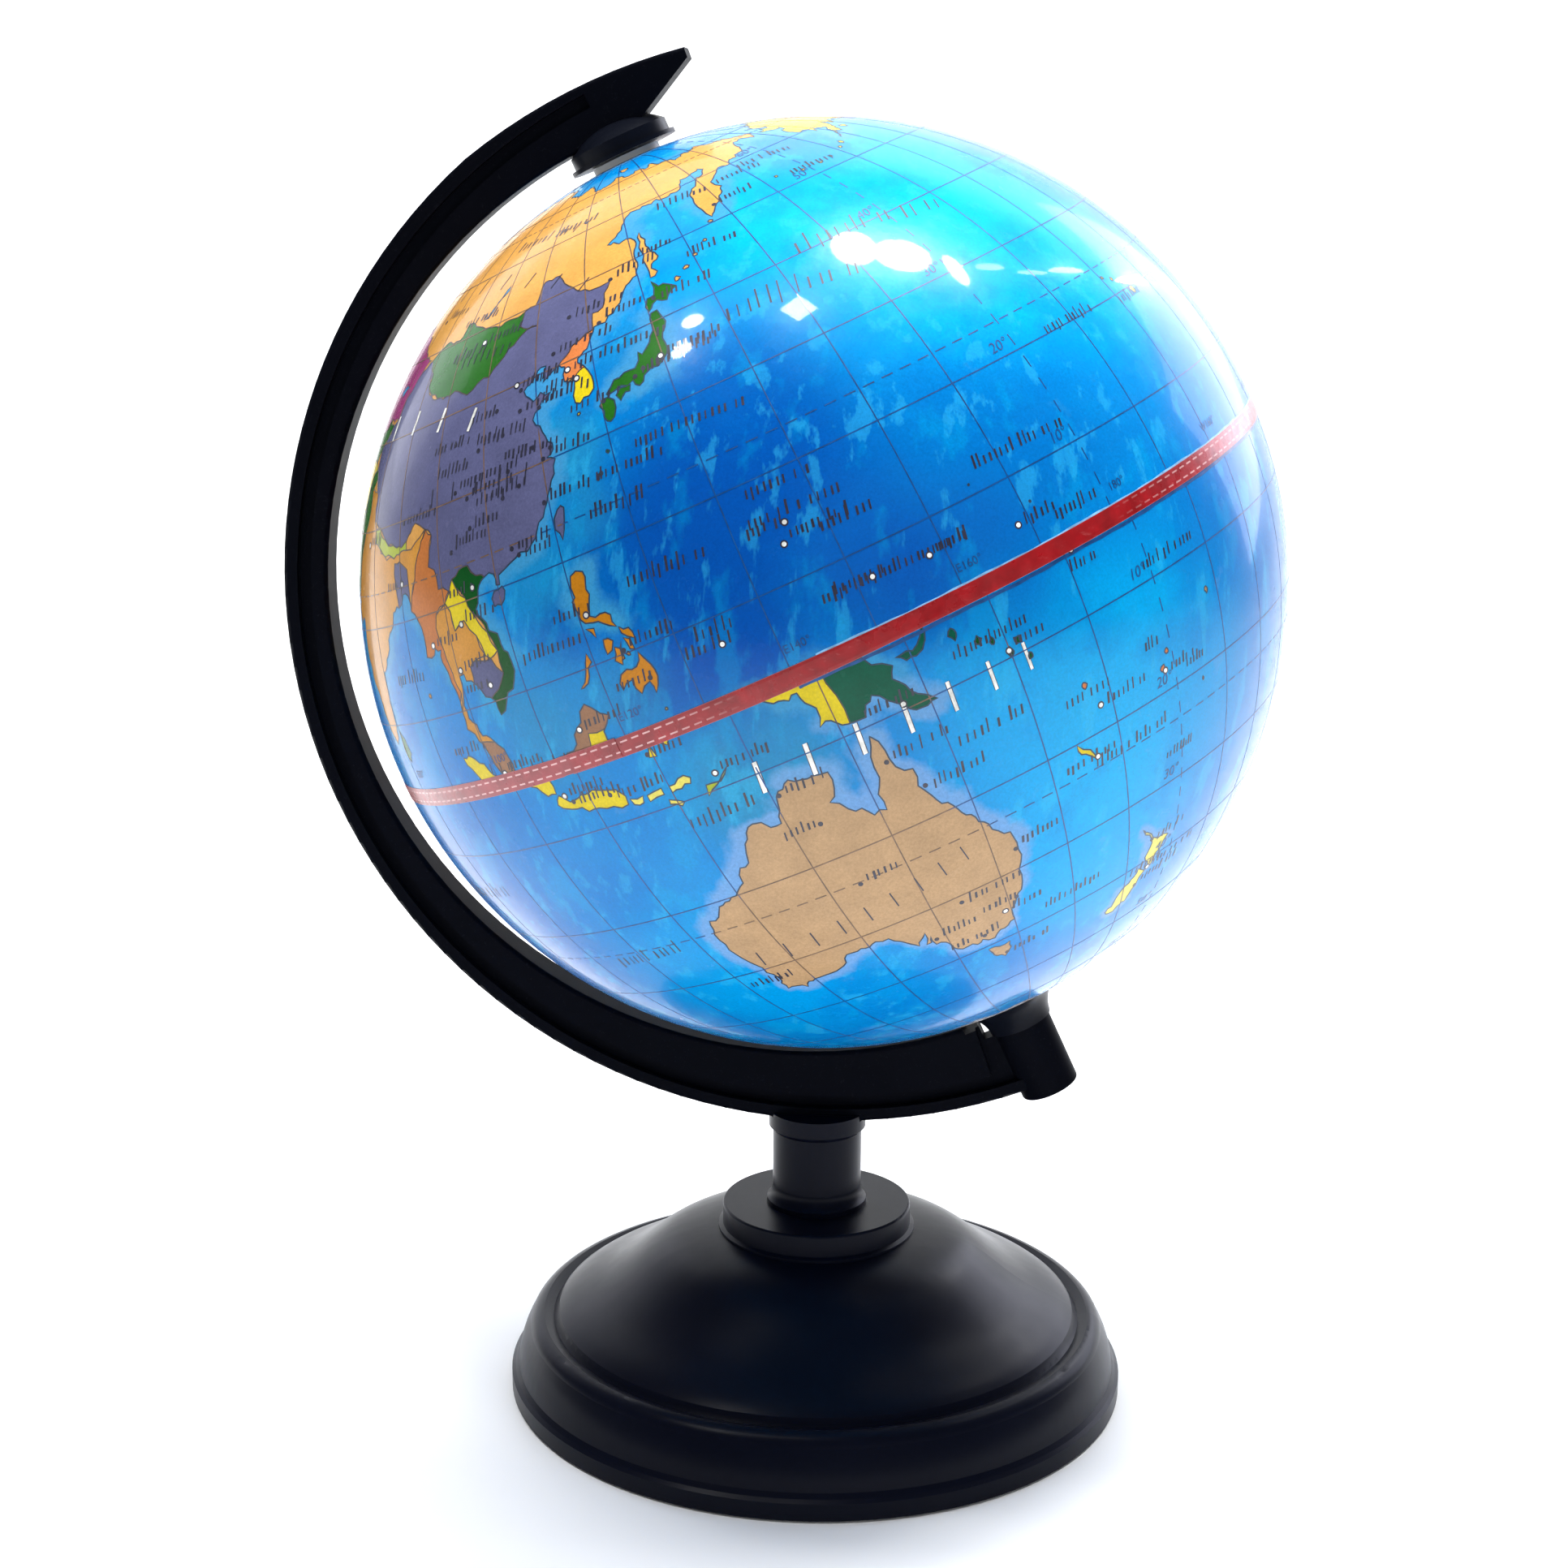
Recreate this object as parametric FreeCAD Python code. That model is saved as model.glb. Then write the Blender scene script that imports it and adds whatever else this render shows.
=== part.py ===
import FreeCAD, Part
import math
import os

# Desktop globe on a C-arm stand. Millimetres, +Z up.
# Origin: centre of the underside, where the stand rests. The arm lies in the XZ plane and the
# north end of the globe's axis leans towards -X.

V = FreeCAD.Vector
UP = V(0, 0, 1)

# ---- driving dimensions -------------------------------------------------------------------
globe_r = 100.0          # outer radius of the ball
shell_wall = 1.6         # wall of each hemisphere
axis_tilt = 25.0         # lean of the spin axis from the vertical, degrees

tape_width = 4.0         # band over the equator joint
tape_thick = 0.25
ring_height = 12.0       # joint ring inside the equator
ring_wall = 1.5
overlap_gap = 0.02       # joint ring and bushes to the shells
body_gap = 0.3           # between the ball and the stand, beside the pivots

pin_r = 2.0              # both pivot pins
pin_run = 0.05           # radial running clearance of a pin in its bush
pin_reach = 7.0          # how far a pin goes in past the ball's surface
pin_above = 13.0         # how far the upper pin's bore goes above the ball's surface
pin_end_gap = 0.2
bush_r = 5.0             # barrel of a pivot bush
bush_depth = 8.0         # barrel length inside the ball
bush_flange_r = 7.5
bush_flange = 1.0        # flange standing proud of the ball

arm_width = 10.0         # along Y
arm_outer_r = globe_r + 20.9  # outer edge of the arm
arm_outer_x = 2.8        # its centre, from the ball's centre
arm_outer_z = -0.8
arm_inner_r = globe_r + 4.7   # inner edge of the arm
arm_inner_x = -3.7
arm_inner_z = -0.6
arm_rail = 3.0           # rail along the outer edge, beside the groove
groove_width = 3.0
groove_depth = 2.4
arm_edge = 0.9           # rounding of the long edges
tip_angle = 104.7        # where the arm's upper end stops, degrees from +X about the ball
tip_r = globe_r + 17.5   # outer edge of the arm at the tip
tip_blunt = 2.2          # small blunt face at the tip
flat_from = 130.0        # above this angle the outer edge runs on a tighter curve
cut_angle = 112.4        # where the end's slanting cut meets the inner edge
panel_end = 3.0          # recess between the arm's raised panel and the boss
groove_start = 116.0     # where the groove runs out near the tip, degrees

boss_r = 6.7             # pivot boss at the lower end
boss_length = 17.0
boss_edge = 0.6
head_r = 3.4             # head of the lower pivot screw
head_h = 2.6
head_deep = 1.6          # head below the end of the boss
press_gap = 0.01         # pin pressed in its bore

washer_r = 11.8          # thin washer over the north pole
washer_t = 0.9
cap_r = 10.9             # domed cap under the arm's upper end
cap_rim = 2.6
cap_dome = 3.6
cup_top_r = 12.6         # flared cup under the ball
cup_foot_r = 7.2
cup_height = 7.0
cup_lip = 0.8
cap_dome_mid = 0.62      # height of the dome's curve half way out, as a share of the dome
cup_gap = 0.8            # cup's lip to the ball
seat_gap = 0.15          # arm to the cap and cup that it holds
seat_room = 0.4          # extra room in the arm around the cup and the washer

neck_ring_r = 11.1       # ring between the arm and the post
neck_ring_h = 3.2
neck_ring_chamfer = 1.0
neck_shoulder = 1.6      # how far the ring rises beside the arm
post_length = 17.8       # from the base's collar to the neck ring
post_r = 10.15
post_bore_r = 7.2
post_cap = 3.0           # closed top of the post
foot_r = 11.4            # flared foot of the post
foot_rim = 1.2
foot_flare = 3.4

bolt_r = 2.0             # long bolt that holds arm, ring, post and base together
bolt_clear = 0.15
bolt_head_r = 3.6
bolt_head_h = 2.8
bolt_in_arm = 9.0        # thread length in the arm
bolt_end_gap = 0.5
bolt_washer_r = 6.0
bolt_washer_t = 1.0

base_r = 70.6            # base, at its rim
base_height = 43.3       # top of the collar
base_wall = 2.0
collar_r = 21.6
collar_h = 5.0
ledge_r = collar_r + 1.0  # small step under the collar
ledge_h = 1.0
collar_wall = 3.0
collar_edge = 0.5
rim_lift = 0.5           # rim above the surface, so that the pad carries the weight
flange_h = 4.6           # lowest step of the rim
bead_r = base_r - 9.8    # valley between the bell and the rim's shoulder
shoulder_h = 17.3
pad_t = 1.2              # felt pad
pad_margin = 5.0
cover_t = 2.0            # plate that closes the underside
cover_gap = 0.2
weight_r = base_r - 23.6  # steel ballast ring
weight_hole_r = 12.0
weight_t = 4.0
screw_count = 3
screw_circle_r = base_r - 15.6
screw_r = 1.5
screw_head_r = 2.9
screw_head_h = 1.3
screw_length = 9.0
screw_boss_r = 4.0
driver_cut = 0.7         # width and depth of a screw's cross recess
driver_span = 3.4

# ---- places that follow ---------------------------------------------------------------------
ring_bottom = base_height + post_length
arm_bottom = ring_bottom + neck_ring_h
globe_height = arm_bottom + arm_outer_r - arm_outer_z
centre = V(0, 0, globe_height)
tilt = math.radians(axis_tilt)
north = V(-math.sin(tilt), 0, math.cos(tilt))
cap_base = globe_r + bush_flange + body_gap + washer_t
cup_base = globe_r + bush_flange + body_gap + cup_height
boss_top = cup_base
boss_end = boss_top + boss_length
south_angle = 270.0 + axis_tilt
boss_cover = math.degrees(math.asin(boss_r / boss_top))
panel_stop = south_angle - boss_cover - math.degrees(panel_end / globe_r)
pin_top_north = globe_r + pin_above
bolt_tip = arm_bottom + bolt_in_arm
cover_bottom = pad_t
cover_top = cover_bottom + cover_t
bell_top = base_height - collar_h - ledge_h
shoulder_r = (base_r + bead_r) / 2 + 0.5

os.makedirs("parts", exist_ok=True)


def export(name, shape):
    shape.exportStep("parts/" + name + ".step")


def on_axis(shape):
    """Put a shape built on +Z about the origin onto the spin axis, about the ball's centre."""
    out = shape.copy()
    out.rotate(V(0, 0, 0), V(0, 1, 0), -axis_tilt)
    out.translate(centre)
    return out


def rod(radius, low, high):
    return Part.makeCylinder(radius, high - low, V(0, 0, low), UP)


def south(shape):
    """Turn a shape built for the north end over to the south end."""
    out = shape.copy()
    out.rotate(V(0, 0, 0), V(0, 1, 0), 180)
    return out


def polar(radius, degrees):
    """A point of the arm's plane, about the ball's centre."""
    a = math.radians(degrees)
    return V(radius * math.cos(a), 0, globe_height + radius * math.sin(a))


def on_circle(cx, cz, radius, degrees):
    """Where the ray from the ball's centre meets a circle that isn't centred there."""
    a = math.radians(degrees)
    along = cx * math.cos(a) + cz * math.sin(a)
    reach = along + math.sqrt(along * along - cx * cx - cz * cz + radius * radius)
    return polar(reach, degrees)


def outer_point(degrees, inset=0.0):
    return on_circle(arm_outer_x, arm_outer_z, arm_outer_r - inset, degrees)


def inner_point(degrees):
    return on_circle(arm_inner_x, arm_inner_z, arm_inner_r, degrees)


def arc(a, b, c):
    return Part.Arc(a, b, c).toShape()


def line(a, b):
    return Part.makeLine(a, b)


def thick(wire, width, y_low):
    """Extrude a closed wire of the XZ plane along Y."""
    face = Part.Face(wire)
    solid = face.extrude(V(0, width, 0))
    solid.translate(V(0, y_low, 0))
    return solid


def revolved(edges):
    """Spin a closed profile of the XZ plane about Z."""
    return Part.Face(Part.Wire(edges)).revolve(V(0, 0, 0), UP, 360)


def polyline(points):
    pts = [V(r, 0, z) for r, z in points]
    return [line(pts[i], pts[(i + 1) % len(pts)]) for i in range(len(pts))]


# ---- the ball -------------------------------------------------------------------------------
def make_ball():
    big = 2.2 * globe_r
    hollow = Part.makeSphere(globe_r).cut(Part.makeSphere(globe_r - shell_wall))
    hollow = hollow.cut(rod(bush_r + overlap_gap, -big / 2, big / 2))
    upper = Part.makeBox(big, big, big, V(-big / 2, -big / 2, 0))
    lower = Part.makeBox(big, big, big, V(-big / 2, -big / 2, -big))
    export("north_hemisphere", on_axis(hollow.common(upper)))
    export("south_hemisphere", on_axis(hollow.common(lower)))

    ring_out = globe_r - shell_wall - overlap_gap
    slab = rod(globe_r * 1.1, -ring_height / 2, ring_height / 2)
    ring = Part.makeSphere(ring_out).cut(Part.makeSphere(ring_out - ring_wall)).common(slab)
    export("equator_joint_ring", on_axis(ring))

    band = rod(globe_r * 1.1, -tape_width / 2, tape_width / 2)
    tape = Part.makeSphere(globe_r + tape_thick).cut(Part.makeSphere(globe_r)).common(band)
    export("equator_tape", on_axis(tape))


def make_bush():
    """Flanged bush for one pole; the flange's inner side follows the ball."""
    top = globe_r + bush_flange
    barrel = rod(bush_r, globe_r - bush_depth, top)
    flange = rod(bush_flange_r, globe_r - bush_flange, top)
    flange = flange.cut(Part.makeSphere(globe_r + overlap_gap))
    bush = barrel.fuse(flange).removeSplitter()
    return bush.cut(rod(pin_r + pin_run, 0, 2 * globe_r))


# ---- pieces that carry the ball -------------------------------------------------------------
def make_cap():
    rim = cap_base + cap_rim
    top = rim + cap_dome
    mid_r = cap_r * math.sin(math.pi / 4)
    mid_z = rim + cap_dome * cap_dome_mid
    edges = [
        line(V(pin_r + press_gap, 0, cap_base), V(cap_r, 0, cap_base)),
        line(V(cap_r, 0, cap_base), V(cap_r, 0, rim)),
        arc(V(cap_r, 0, rim), V(mid_r, 0, mid_z), V(pin_r + press_gap, 0, top)),
        line(V(pin_r + press_gap, 0, top), V(pin_r + press_gap, 0, cap_base)),
    ]
    return revolved(edges)


def make_cup():
    """Flared cup: narrow foot on the boss, wide lip that follows the ball."""
    foot = cup_base
    lip_in = globe_r + cup_gap
    lip_z = math.sqrt(lip_in ** 2 - cup_top_r ** 2)
    well_r = bush_flange_r + 0.6
    well_z = globe_r + bush_flange + body_gap
    slope_z = math.sqrt(lip_in ** 2 - well_r ** 2)
    bore = pin_r + press_gap
    low = V(cup_foot_r, 0, foot)
    lip = V(cup_top_r, 0, lip_z + cup_lip)
    waist_r = cup_foot_r + 0.34 * (cup_top_r - cup_foot_r)
    waist = V(waist_r, 0, foot - 0.62 * (foot - lip_z - cup_lip))
    mid_r = (cup_top_r + well_r) / 2
    edges = [
        line(V(bore, 0, foot), low),
        arc(low, waist, lip),
        line(lip, V(cup_top_r, 0, lip_z)),
        arc(V(cup_top_r, 0, lip_z), V(mid_r, 0, math.sqrt(lip_in ** 2 - mid_r ** 2)),
            V(well_r, 0, slope_z)),
        line(V(well_r, 0, slope_z), V(well_r, 0, well_z)),
        line(V(well_r, 0, well_z), V(bore, 0, well_z)),
        line(V(bore, 0, well_z), V(bore, 0, foot)),
    ]
    return revolved(edges)


# ---- the arm --------------------------------------------------------------------------------
def arm_wire(stop, outer_inset=0.0):
    """Outline of the arm from its tip round to the angle given."""
    tip = polar(tip_r, tip_angle)
    start = outer_point(flat_from)
    mid = polar((tip_r + (start - centre).Length) / 2 - 0.2, (flat_from + tip_angle) / 2)
    along = (mid - tip).normalize()
    blunt = tip + V(-along.z, 0, along.x) * tip_blunt
    half = (flat_from + stop) / 2
    cut = inner_point(cut_angle)
    return Part.Wire([
        arc(tip, mid, start),
        arc(start, outer_point(half), outer_point(stop)),
        line(outer_point(stop), inner_point(stop)),
        arc(inner_point(stop), inner_point((stop + cut_angle) / 2), cut),
        line(cut, blunt),
        line(blunt, tip),
    ])


def groove_wire(stop):
    """Groove beside the outer rail, turned in at the boss to end the raised panel."""
    near = arm_rail
    far = arm_rail + groove_width
    lift = (outer_point(flat_from) - centre).Length - (tip_r + 0.6)
    first_out = polar((outer_point(groove_start, near) - centre).Length - lift / 2, groove_start)
    first_in = polar((outer_point(groove_start, far) - centre).Length - lift / 2, groove_start)
    half = (groove_start + stop) / 2
    return Part.Wire([
        arc(first_out, outer_point(half, near), outer_point(stop, near)),
        line(outer_point(stop, near), outer_point(stop, far)),
        arc(outer_point(stop, far), outer_point(half, far), first_in),
        line(first_in, first_out),
    ])


def make_arm():
    half_w = arm_width / 2
    body = thick(arm_wire(south_angle), arm_width, -half_w)

    edges = []
    for edge in body.Edges:
        round_edge = edge.Curve.TypeId == "Part::GeomCircle"
        side = abs(abs(edge.CenterOfMass.y) - half_w) < 1e-6
        if round_edge and side:
            edges.append(edge)
    body = body.makeFillet(arm_edge, edges)

    end_gap = Part.Wire([
        line(outer_point(panel_stop, arm_rail), outer_point(south_angle, arm_rail)),
        line(outer_point(south_angle, arm_rail), polar(globe_r, south_angle)),
        line(polar(globe_r, south_angle), polar(globe_r, panel_stop)),
        line(polar(globe_r, panel_stop), outer_point(panel_stop, arm_rail)),
    ])
    for wire in (groove_wire(south_angle), end_gap):
        for y_low in (-half_w, half_w - groove_depth):
            body = body.cut(thick(wire, groove_depth, y_low))

    boss = rod(boss_r, boss_top, boss_end)
    rims = [e for e in boss.Edges if e.Closed and abs(e.CenterOfMass.z - boss_end) < 1e-6]
    boss = boss.makeFillet(boss_edge, rims)
    boss = on_axis(south(boss))
    # nothing of the arm runs past the boss's axis or into the seats of the cap and the cup
    room = 0.6 * globe_r
    beyond = Part.makeBox(room, room, room, V(0, -room / 2, -room / 2))
    beyond.translate(V(0, 0, -(boss_top + boss_length / 2)))
    beyond = on_axis(beyond)
    body = body.cut(beyond).fuse(boss).removeSplitter()

    pins = rod(pin_r + press_gap, 0, tip_r)
    body = body.cut(on_axis(pins.cut(rod(pin_r * 2, pin_top_north, 2 * globe_r))))
    low_bore = rod(pin_r + press_gap, 0, 2 * globe_r)
    sink = rod(head_r + 0.2, boss_end - head_deep - head_h, 2 * globe_r)
    body = body.cut(on_axis(south(low_bore.fuse(sink))))

    cup_room = rod(cup_top_r + seat_gap + seat_room, 0, boss_top - cup_height / 2)
    foot_room = rod(cup_foot_r + 2.0, 0, boss_top)
    body = body.cut(on_axis(south(cup_room.fuse(foot_room))))
    washer_room = rod(washer_r + seat_room, 0, cap_base + seat_gap)
    body = body.cut(on_axis(washer_room))

    thread = rod(bolt_r + press_gap, 0, bolt_tip)
    return body.cut(thread)


def cut_by_arm(shape, arm):
    """Take the arm's room, with the seat clearance, out of a piece that the arm sits in."""
    tall = thick(arm_wire(south_angle), arm_width + 2 * seat_gap, -arm_width / 2 - seat_gap)
    return shape.cut(tall).cut(arm)


# ---- neck -----------------------------------------------------------------------------------
def make_neck_ring():
    top = arm_bottom + neck_shoulder
    c = neck_ring_chamfer
    inner = bolt_r + bolt_clear
    profile = polyline([
        (inner, ring_bottom), (neck_ring_r - c, ring_bottom), (neck_ring_r, ring_bottom + c),
        (neck_ring_r, top), (inner, top),
    ])
    return revolved(profile)


def make_post():
    top = ring_bottom
    low = base_height
    bolt_hole = bolt_r + bolt_clear
    flare_top = low + foot_rim + foot_flare
    mid = V((post_r + foot_r) / 2 - 0.35, 0, low + foot_rim + foot_flare * 0.42)
    edges = [
        line(V(post_bore_r, 0, low), V(foot_r, 0, low)),
        line(V(foot_r, 0, low), V(foot_r, 0, low + foot_rim)),
        arc(V(foot_r, 0, low + foot_rim), mid, V(post_r, 0, flare_top)),
        line(V(post_r, 0, flare_top), V(post_r, 0, top)),
        line(V(post_r, 0, top), V(bolt_hole, 0, top)),
        line(V(bolt_hole, 0, top), V(bolt_hole, 0, top - post_cap)),
        line(V(bolt_hole, 0, top - post_cap), V(post_bore_r, 0, top - post_cap)),
        line(V(post_bore_r, 0, top - post_cap), V(post_bore_r, 0, low)),
    ]
    return revolved(edges)


# ---- base -----------------------------------------------------------------------------------
def bell_points():
    """Bell curve from the ledge down to the lip above the valley."""
    run = bead_r - ledge_r
    drop = bell_top - shoulder_h
    stations = [(0.0, 0.0), (0.16, 0.055), (0.33, 0.17), (0.54, 0.46), (0.73, 0.70), (0.90, 0.86),
                (0.965, 0.945)]
    return [(ledge_r + a * run, bell_top - b * drop) for a, b in stations]


def inset(points, distance):
    """Shift a run of profile points to the inner side by the wall."""
    out = []
    for i, (r, z) in enumerate(points):
        r0, z0 = points[max(i - 1, 0)]
        r1, z1 = points[min(i + 1, len(points) - 1)]
        length = math.hypot(r1 - r0, z1 - z0)
        out.append((r + (z1 - z0) / length * distance, z - (r1 - r0) / length * distance))
    return out


def spline(points):
    curve = Part.BSplineCurve()
    curve.interpolate([V(r, 0, z) for r, z in points])
    return curve.toShape()


def make_base_shell():
    bell = bell_points()
    lip_r, lip_z = bell[-1]
    valley = V(bead_r, 0, shoulder_h - 0.6)
    crest = V(bead_r + 2.2, 0, shoulder_h)
    brow = V(shoulder_r, 0, shoulder_h - 2.6)
    waist = V(base_r - 1.6, 0, rim_lift + flange_h + 1.0)
    flange_in = V(base_r - 0.8, 0, rim_lift + flange_h)
    flange_top = V(base_r, 0, rim_lift + flange_h - 0.7)
    rim = V(base_r, 0, rim_lift)
    band_mid = V((brow.x + waist.x) / 2 + 0.5, 0, (brow.z + waist.z) / 2)
    crest_mid = V(bead_r + 4.1, 0, shoulder_h - 0.75)
    lip = V(lip_r, 0, lip_z)
    e = collar_edge
    e_mid = e * (1 - math.sqrt(0.5))
    outside = [
        line(V(bolt_r + bolt_clear, 0, base_height), V(collar_r - e, 0, base_height)),
        arc(V(collar_r - e, 0, base_height), V(collar_r - e_mid, 0, base_height - e_mid),
            V(collar_r, 0, base_height - e)),
        line(V(collar_r, 0, base_height - e), V(collar_r, 0, bell_top + ledge_h)),
        line(V(collar_r, 0, bell_top + ledge_h), V(ledge_r, 0, bell_top + ledge_h * 0.6)),
        line(V(ledge_r, 0, bell_top + ledge_h * 0.6), V(ledge_r, 0, bell_top)),
        spline(bell),
        arc(lip, V((lip.x + valley.x) / 2 + 0.1, 0, (lip.z + valley.z) / 2 - 0.25), valley),
        arc(valley, V(bead_r + 1.0, 0, shoulder_h - 0.25), crest),
        arc(crest, crest_mid, brow),
        arc(brow, band_mid, waist),
        line(waist, flange_in),
        line(flange_in, flange_top),
        line(flange_top, rim),
    ]
    inner_bell = inset(bell, base_wall)
    inner_bell[0] = (ledge_r - base_wall, inner_bell[0][1] - 0.3)
    last_r, last_z = inner_bell[-1]
    w = base_wall
    inside_pts = [
        rim, V(base_r - w, 0, rim_lift), V(base_r - w, 0, cover_top + 0.3),
        V(waist.x - w, 0, waist.z + 0.4), V(brow.x - w, 0, brow.z - 0.5),
        V(crest.x, 0, crest.z - w), V(valley.x - 0.6, 0, valley.z - w), V(last_r, 0, last_z),
    ]
    inside = [line(inside_pts[i], inside_pts[i + 1]) for i in range(len(inside_pts) - 1)]
    inside.append(spline(inner_bell[::-1]))
    ceiling = base_height - collar_wall
    top_in = V(inner_bell[0][0], 0, inner_bell[0][1])
    inside += [
        line(top_in, V(top_in.x, 0, ceiling)),
        line(V(top_in.x, 0, ceiling), V(bolt_r + bolt_clear, 0, ceiling)),
        line(V(bolt_r + bolt_clear, 0, ceiling), V(bolt_r + bolt_clear, 0, base_height)),
    ]
    shell = revolved(outside + inside)

    # screw bosses hang from the bell down to the cover
    roof_r, roof_z = inner_bell[-3]
    roof_z += 0.8
    void = revolved(polyline([
        (0, cover_top), (base_r - w - 2.5, cover_top), (waist.x - w - 1.2, waist.z),
        (brow.x - w - 1.2, brow.z), (valley.x - 0.6, valley.z - w + 0.6),
        (last_r + 0.4, last_z + 0.5), (roof_r, roof_z), (0, roof_z),
    ]))
    for x, y in screw_places():
        column = Part.makeCylinder(screw_boss_r, base_height, V(x, y, cover_top), UP)
        shell = shell.fuse(column.common(void))
    shell = shell.removeSplitter()
    for x, y in screw_places():
        bore = Part.makeCylinder(screw_r + press_gap, screw_length, V(x, y, cover_bottom), UP)
        shell = shell.cut(bore)
    return shell


def screw_places():
    for i in range(screw_count):
        a = 2 * math.pi * i / screw_count + math.pi / 2
        yield screw_circle_r * math.cos(a), screw_circle_r * math.sin(a)


def make_cover():
    cover = rod(base_r - base_wall - cover_gap, cover_bottom, cover_top)
    for x, y in screw_places():
        bore = Part.makeCylinder(screw_r + bolt_clear, screw_length, V(x, y, 0), UP)
        sink = Part.makeCylinder(screw_head_r + 0.1, screw_head_h, V(x, y, cover_bottom), UP)
        cover = cover.cut(bore).cut(sink)
    return cover


def make_cover_screws():
    low = cover_bottom + 0.1
    cut = driver_cut
    span = driver_span
    screws = []
    for x, y in screw_places():
        head = Part.makeCylinder(screw_head_r, screw_head_h - 0.1, V(x, y, low), UP)
        shank = Part.makeCylinder(screw_r, screw_length - 1.0, V(x, y, low), UP)
        cross = Part.makeBox(span, cut, cut, V(x - span / 2, y - cut / 2, low))
        other = Part.makeBox(cut, span, cut, V(x - cut / 2, y - span / 2, low))
        screws.append(head.fuse(shank).removeSplitter().cut(cross).cut(other))
    return Part.makeCompound(screws)


def make_bolt():
    """Long bolt: head under the base's collar, thread up in the arm."""
    seat = base_height - collar_wall - bolt_washer_t
    head = Part.makeCylinder(bolt_head_r, bolt_head_h, V(0, 0, seat - bolt_head_h), UP)
    socket = Part.makeBox(5.2, 0.8, 1.2, V(-2.6, -0.4, seat - bolt_head_h))
    shank = rod(bolt_r, seat, bolt_tip - bolt_end_gap)
    return head.fuse(shank).removeSplitter().cut(socket)


def make_low_pin():
    """Lower pivot: screw with a cheese head sunk in the boss."""
    seat = boss_end - head_deep - head_h
    shank = rod(pin_r, globe_r - pin_reach, seat)
    head = rod(head_r, seat, seat + head_h)
    slot = Part.makeBox(2 * head_r + 1, 0.9, 1.1, V(-head_r - 0.5, -0.45, seat + head_h - 1.1))
    return shank.fuse(head).removeSplitter().cut(slot)


def main():
    make_ball()
    bush = make_bush()
    export("north_bush", on_axis(bush))
    export("south_bush", on_axis(south(bush)))

    arm = make_arm()
    export("arm", arm)
    export("north_cap", cut_by_arm(on_axis(make_cap()), arm))
    washer = rod(washer_r, cap_base - washer_t, cap_base)
    washer = washer.cut(rod(pin_r + press_gap, 0, 2 * globe_r))
    export("north_washer", on_axis(washer))
    export("north_pin", on_axis(rod(pin_r, globe_r - pin_reach, pin_top_north - pin_end_gap)))
    export("south_cup", on_axis(south(make_cup())).cut(arm))
    export("south_pin", on_axis(south(make_low_pin())))

    export("neck_ring", cut_by_arm(make_neck_ring(), arm))
    export("neck_post", make_post())
    export("tie_bolt", make_bolt())
    seat = base_height - collar_wall
    washer = rod(bolt_washer_r, seat - bolt_washer_t, seat)
    washer = washer.cut(rod(bolt_r + bolt_clear, 0, base_height))
    export("tie_bolt_washer", washer)

    export("base_shell", make_base_shell())
    export("base_cover", make_cover())
    export("cover_screws", make_cover_screws())
    ballast = rod(weight_r, cover_top, cover_top + weight_t)
    ballast = ballast.cut(rod(weight_hole_r, 0, base_height))
    export("base_weight", ballast)
    export("base_pad", rod(base_r - pad_margin, 0, pad_t))


main()
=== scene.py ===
import math
import random

import bpy
import numpy as np
from mathutils import Matrix, Vector
from mathutils.bvhtree import BVHTree
from mathutils.geometry import delaunay_2d_cdt
from mathutils.kdtree import KDTree


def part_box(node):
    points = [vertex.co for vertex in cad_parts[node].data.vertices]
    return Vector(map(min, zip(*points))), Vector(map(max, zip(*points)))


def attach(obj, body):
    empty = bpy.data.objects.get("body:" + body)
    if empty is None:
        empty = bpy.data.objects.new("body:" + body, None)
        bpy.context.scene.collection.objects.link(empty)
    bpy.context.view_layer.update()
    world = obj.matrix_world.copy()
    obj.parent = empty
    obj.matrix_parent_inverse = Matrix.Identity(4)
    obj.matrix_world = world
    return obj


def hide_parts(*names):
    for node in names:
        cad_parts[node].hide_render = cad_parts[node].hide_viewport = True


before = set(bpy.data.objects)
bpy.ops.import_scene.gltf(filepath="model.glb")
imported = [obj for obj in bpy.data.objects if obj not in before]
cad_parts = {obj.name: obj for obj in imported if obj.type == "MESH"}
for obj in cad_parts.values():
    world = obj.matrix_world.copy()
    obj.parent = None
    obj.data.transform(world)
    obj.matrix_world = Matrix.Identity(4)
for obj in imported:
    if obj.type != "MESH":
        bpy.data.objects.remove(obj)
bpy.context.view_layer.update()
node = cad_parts

# ---- the globe's place and its printed grid --------------------------------------------------
MM = 0.001
TILT = math.radians(25.0)
AXIS = Vector((-math.sin(TILT), 0, math.cos(TILT)))
SIDE = Vector((math.cos(TILT), 0, math.sin(TILT)))
FRONT = AXIS.cross(SIDE)
tape_low, tape_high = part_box("equator_tape")
CENTRE = (Vector(tape_low) + Vector(tape_high)) / 2
BALL_R = 100.0 * MM
SIDE_LON = -131.66          # printed longitude that faces along SIDE
NORTH_SHIFT = -2.05         # the two halves of the print don't quite line up
# printed latitude against latitude on the ball: the paper gores stretch a little
NORTH_PRINT = (-60, -30, 2.1, 10, 20, 30, 40, 50, 60, 70, 80, 90)
NORTH_BALL = (-71, -36.9, 0, 9.1, 20.6, 32.1, 42.8, 53.2, 63.0, 72.4, 81.4, 90)
SOUTH_PRINT = (-60, -30, 3.7, 10, 20, 30, 40, 50, 60, 70, 80, 90)
SOUTH_BALL = (-82, -43.5, 0, 8.1, 21.0, 32.8, 43.4, 53.5, 63.0, 72.3, 81.3, 90)


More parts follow.
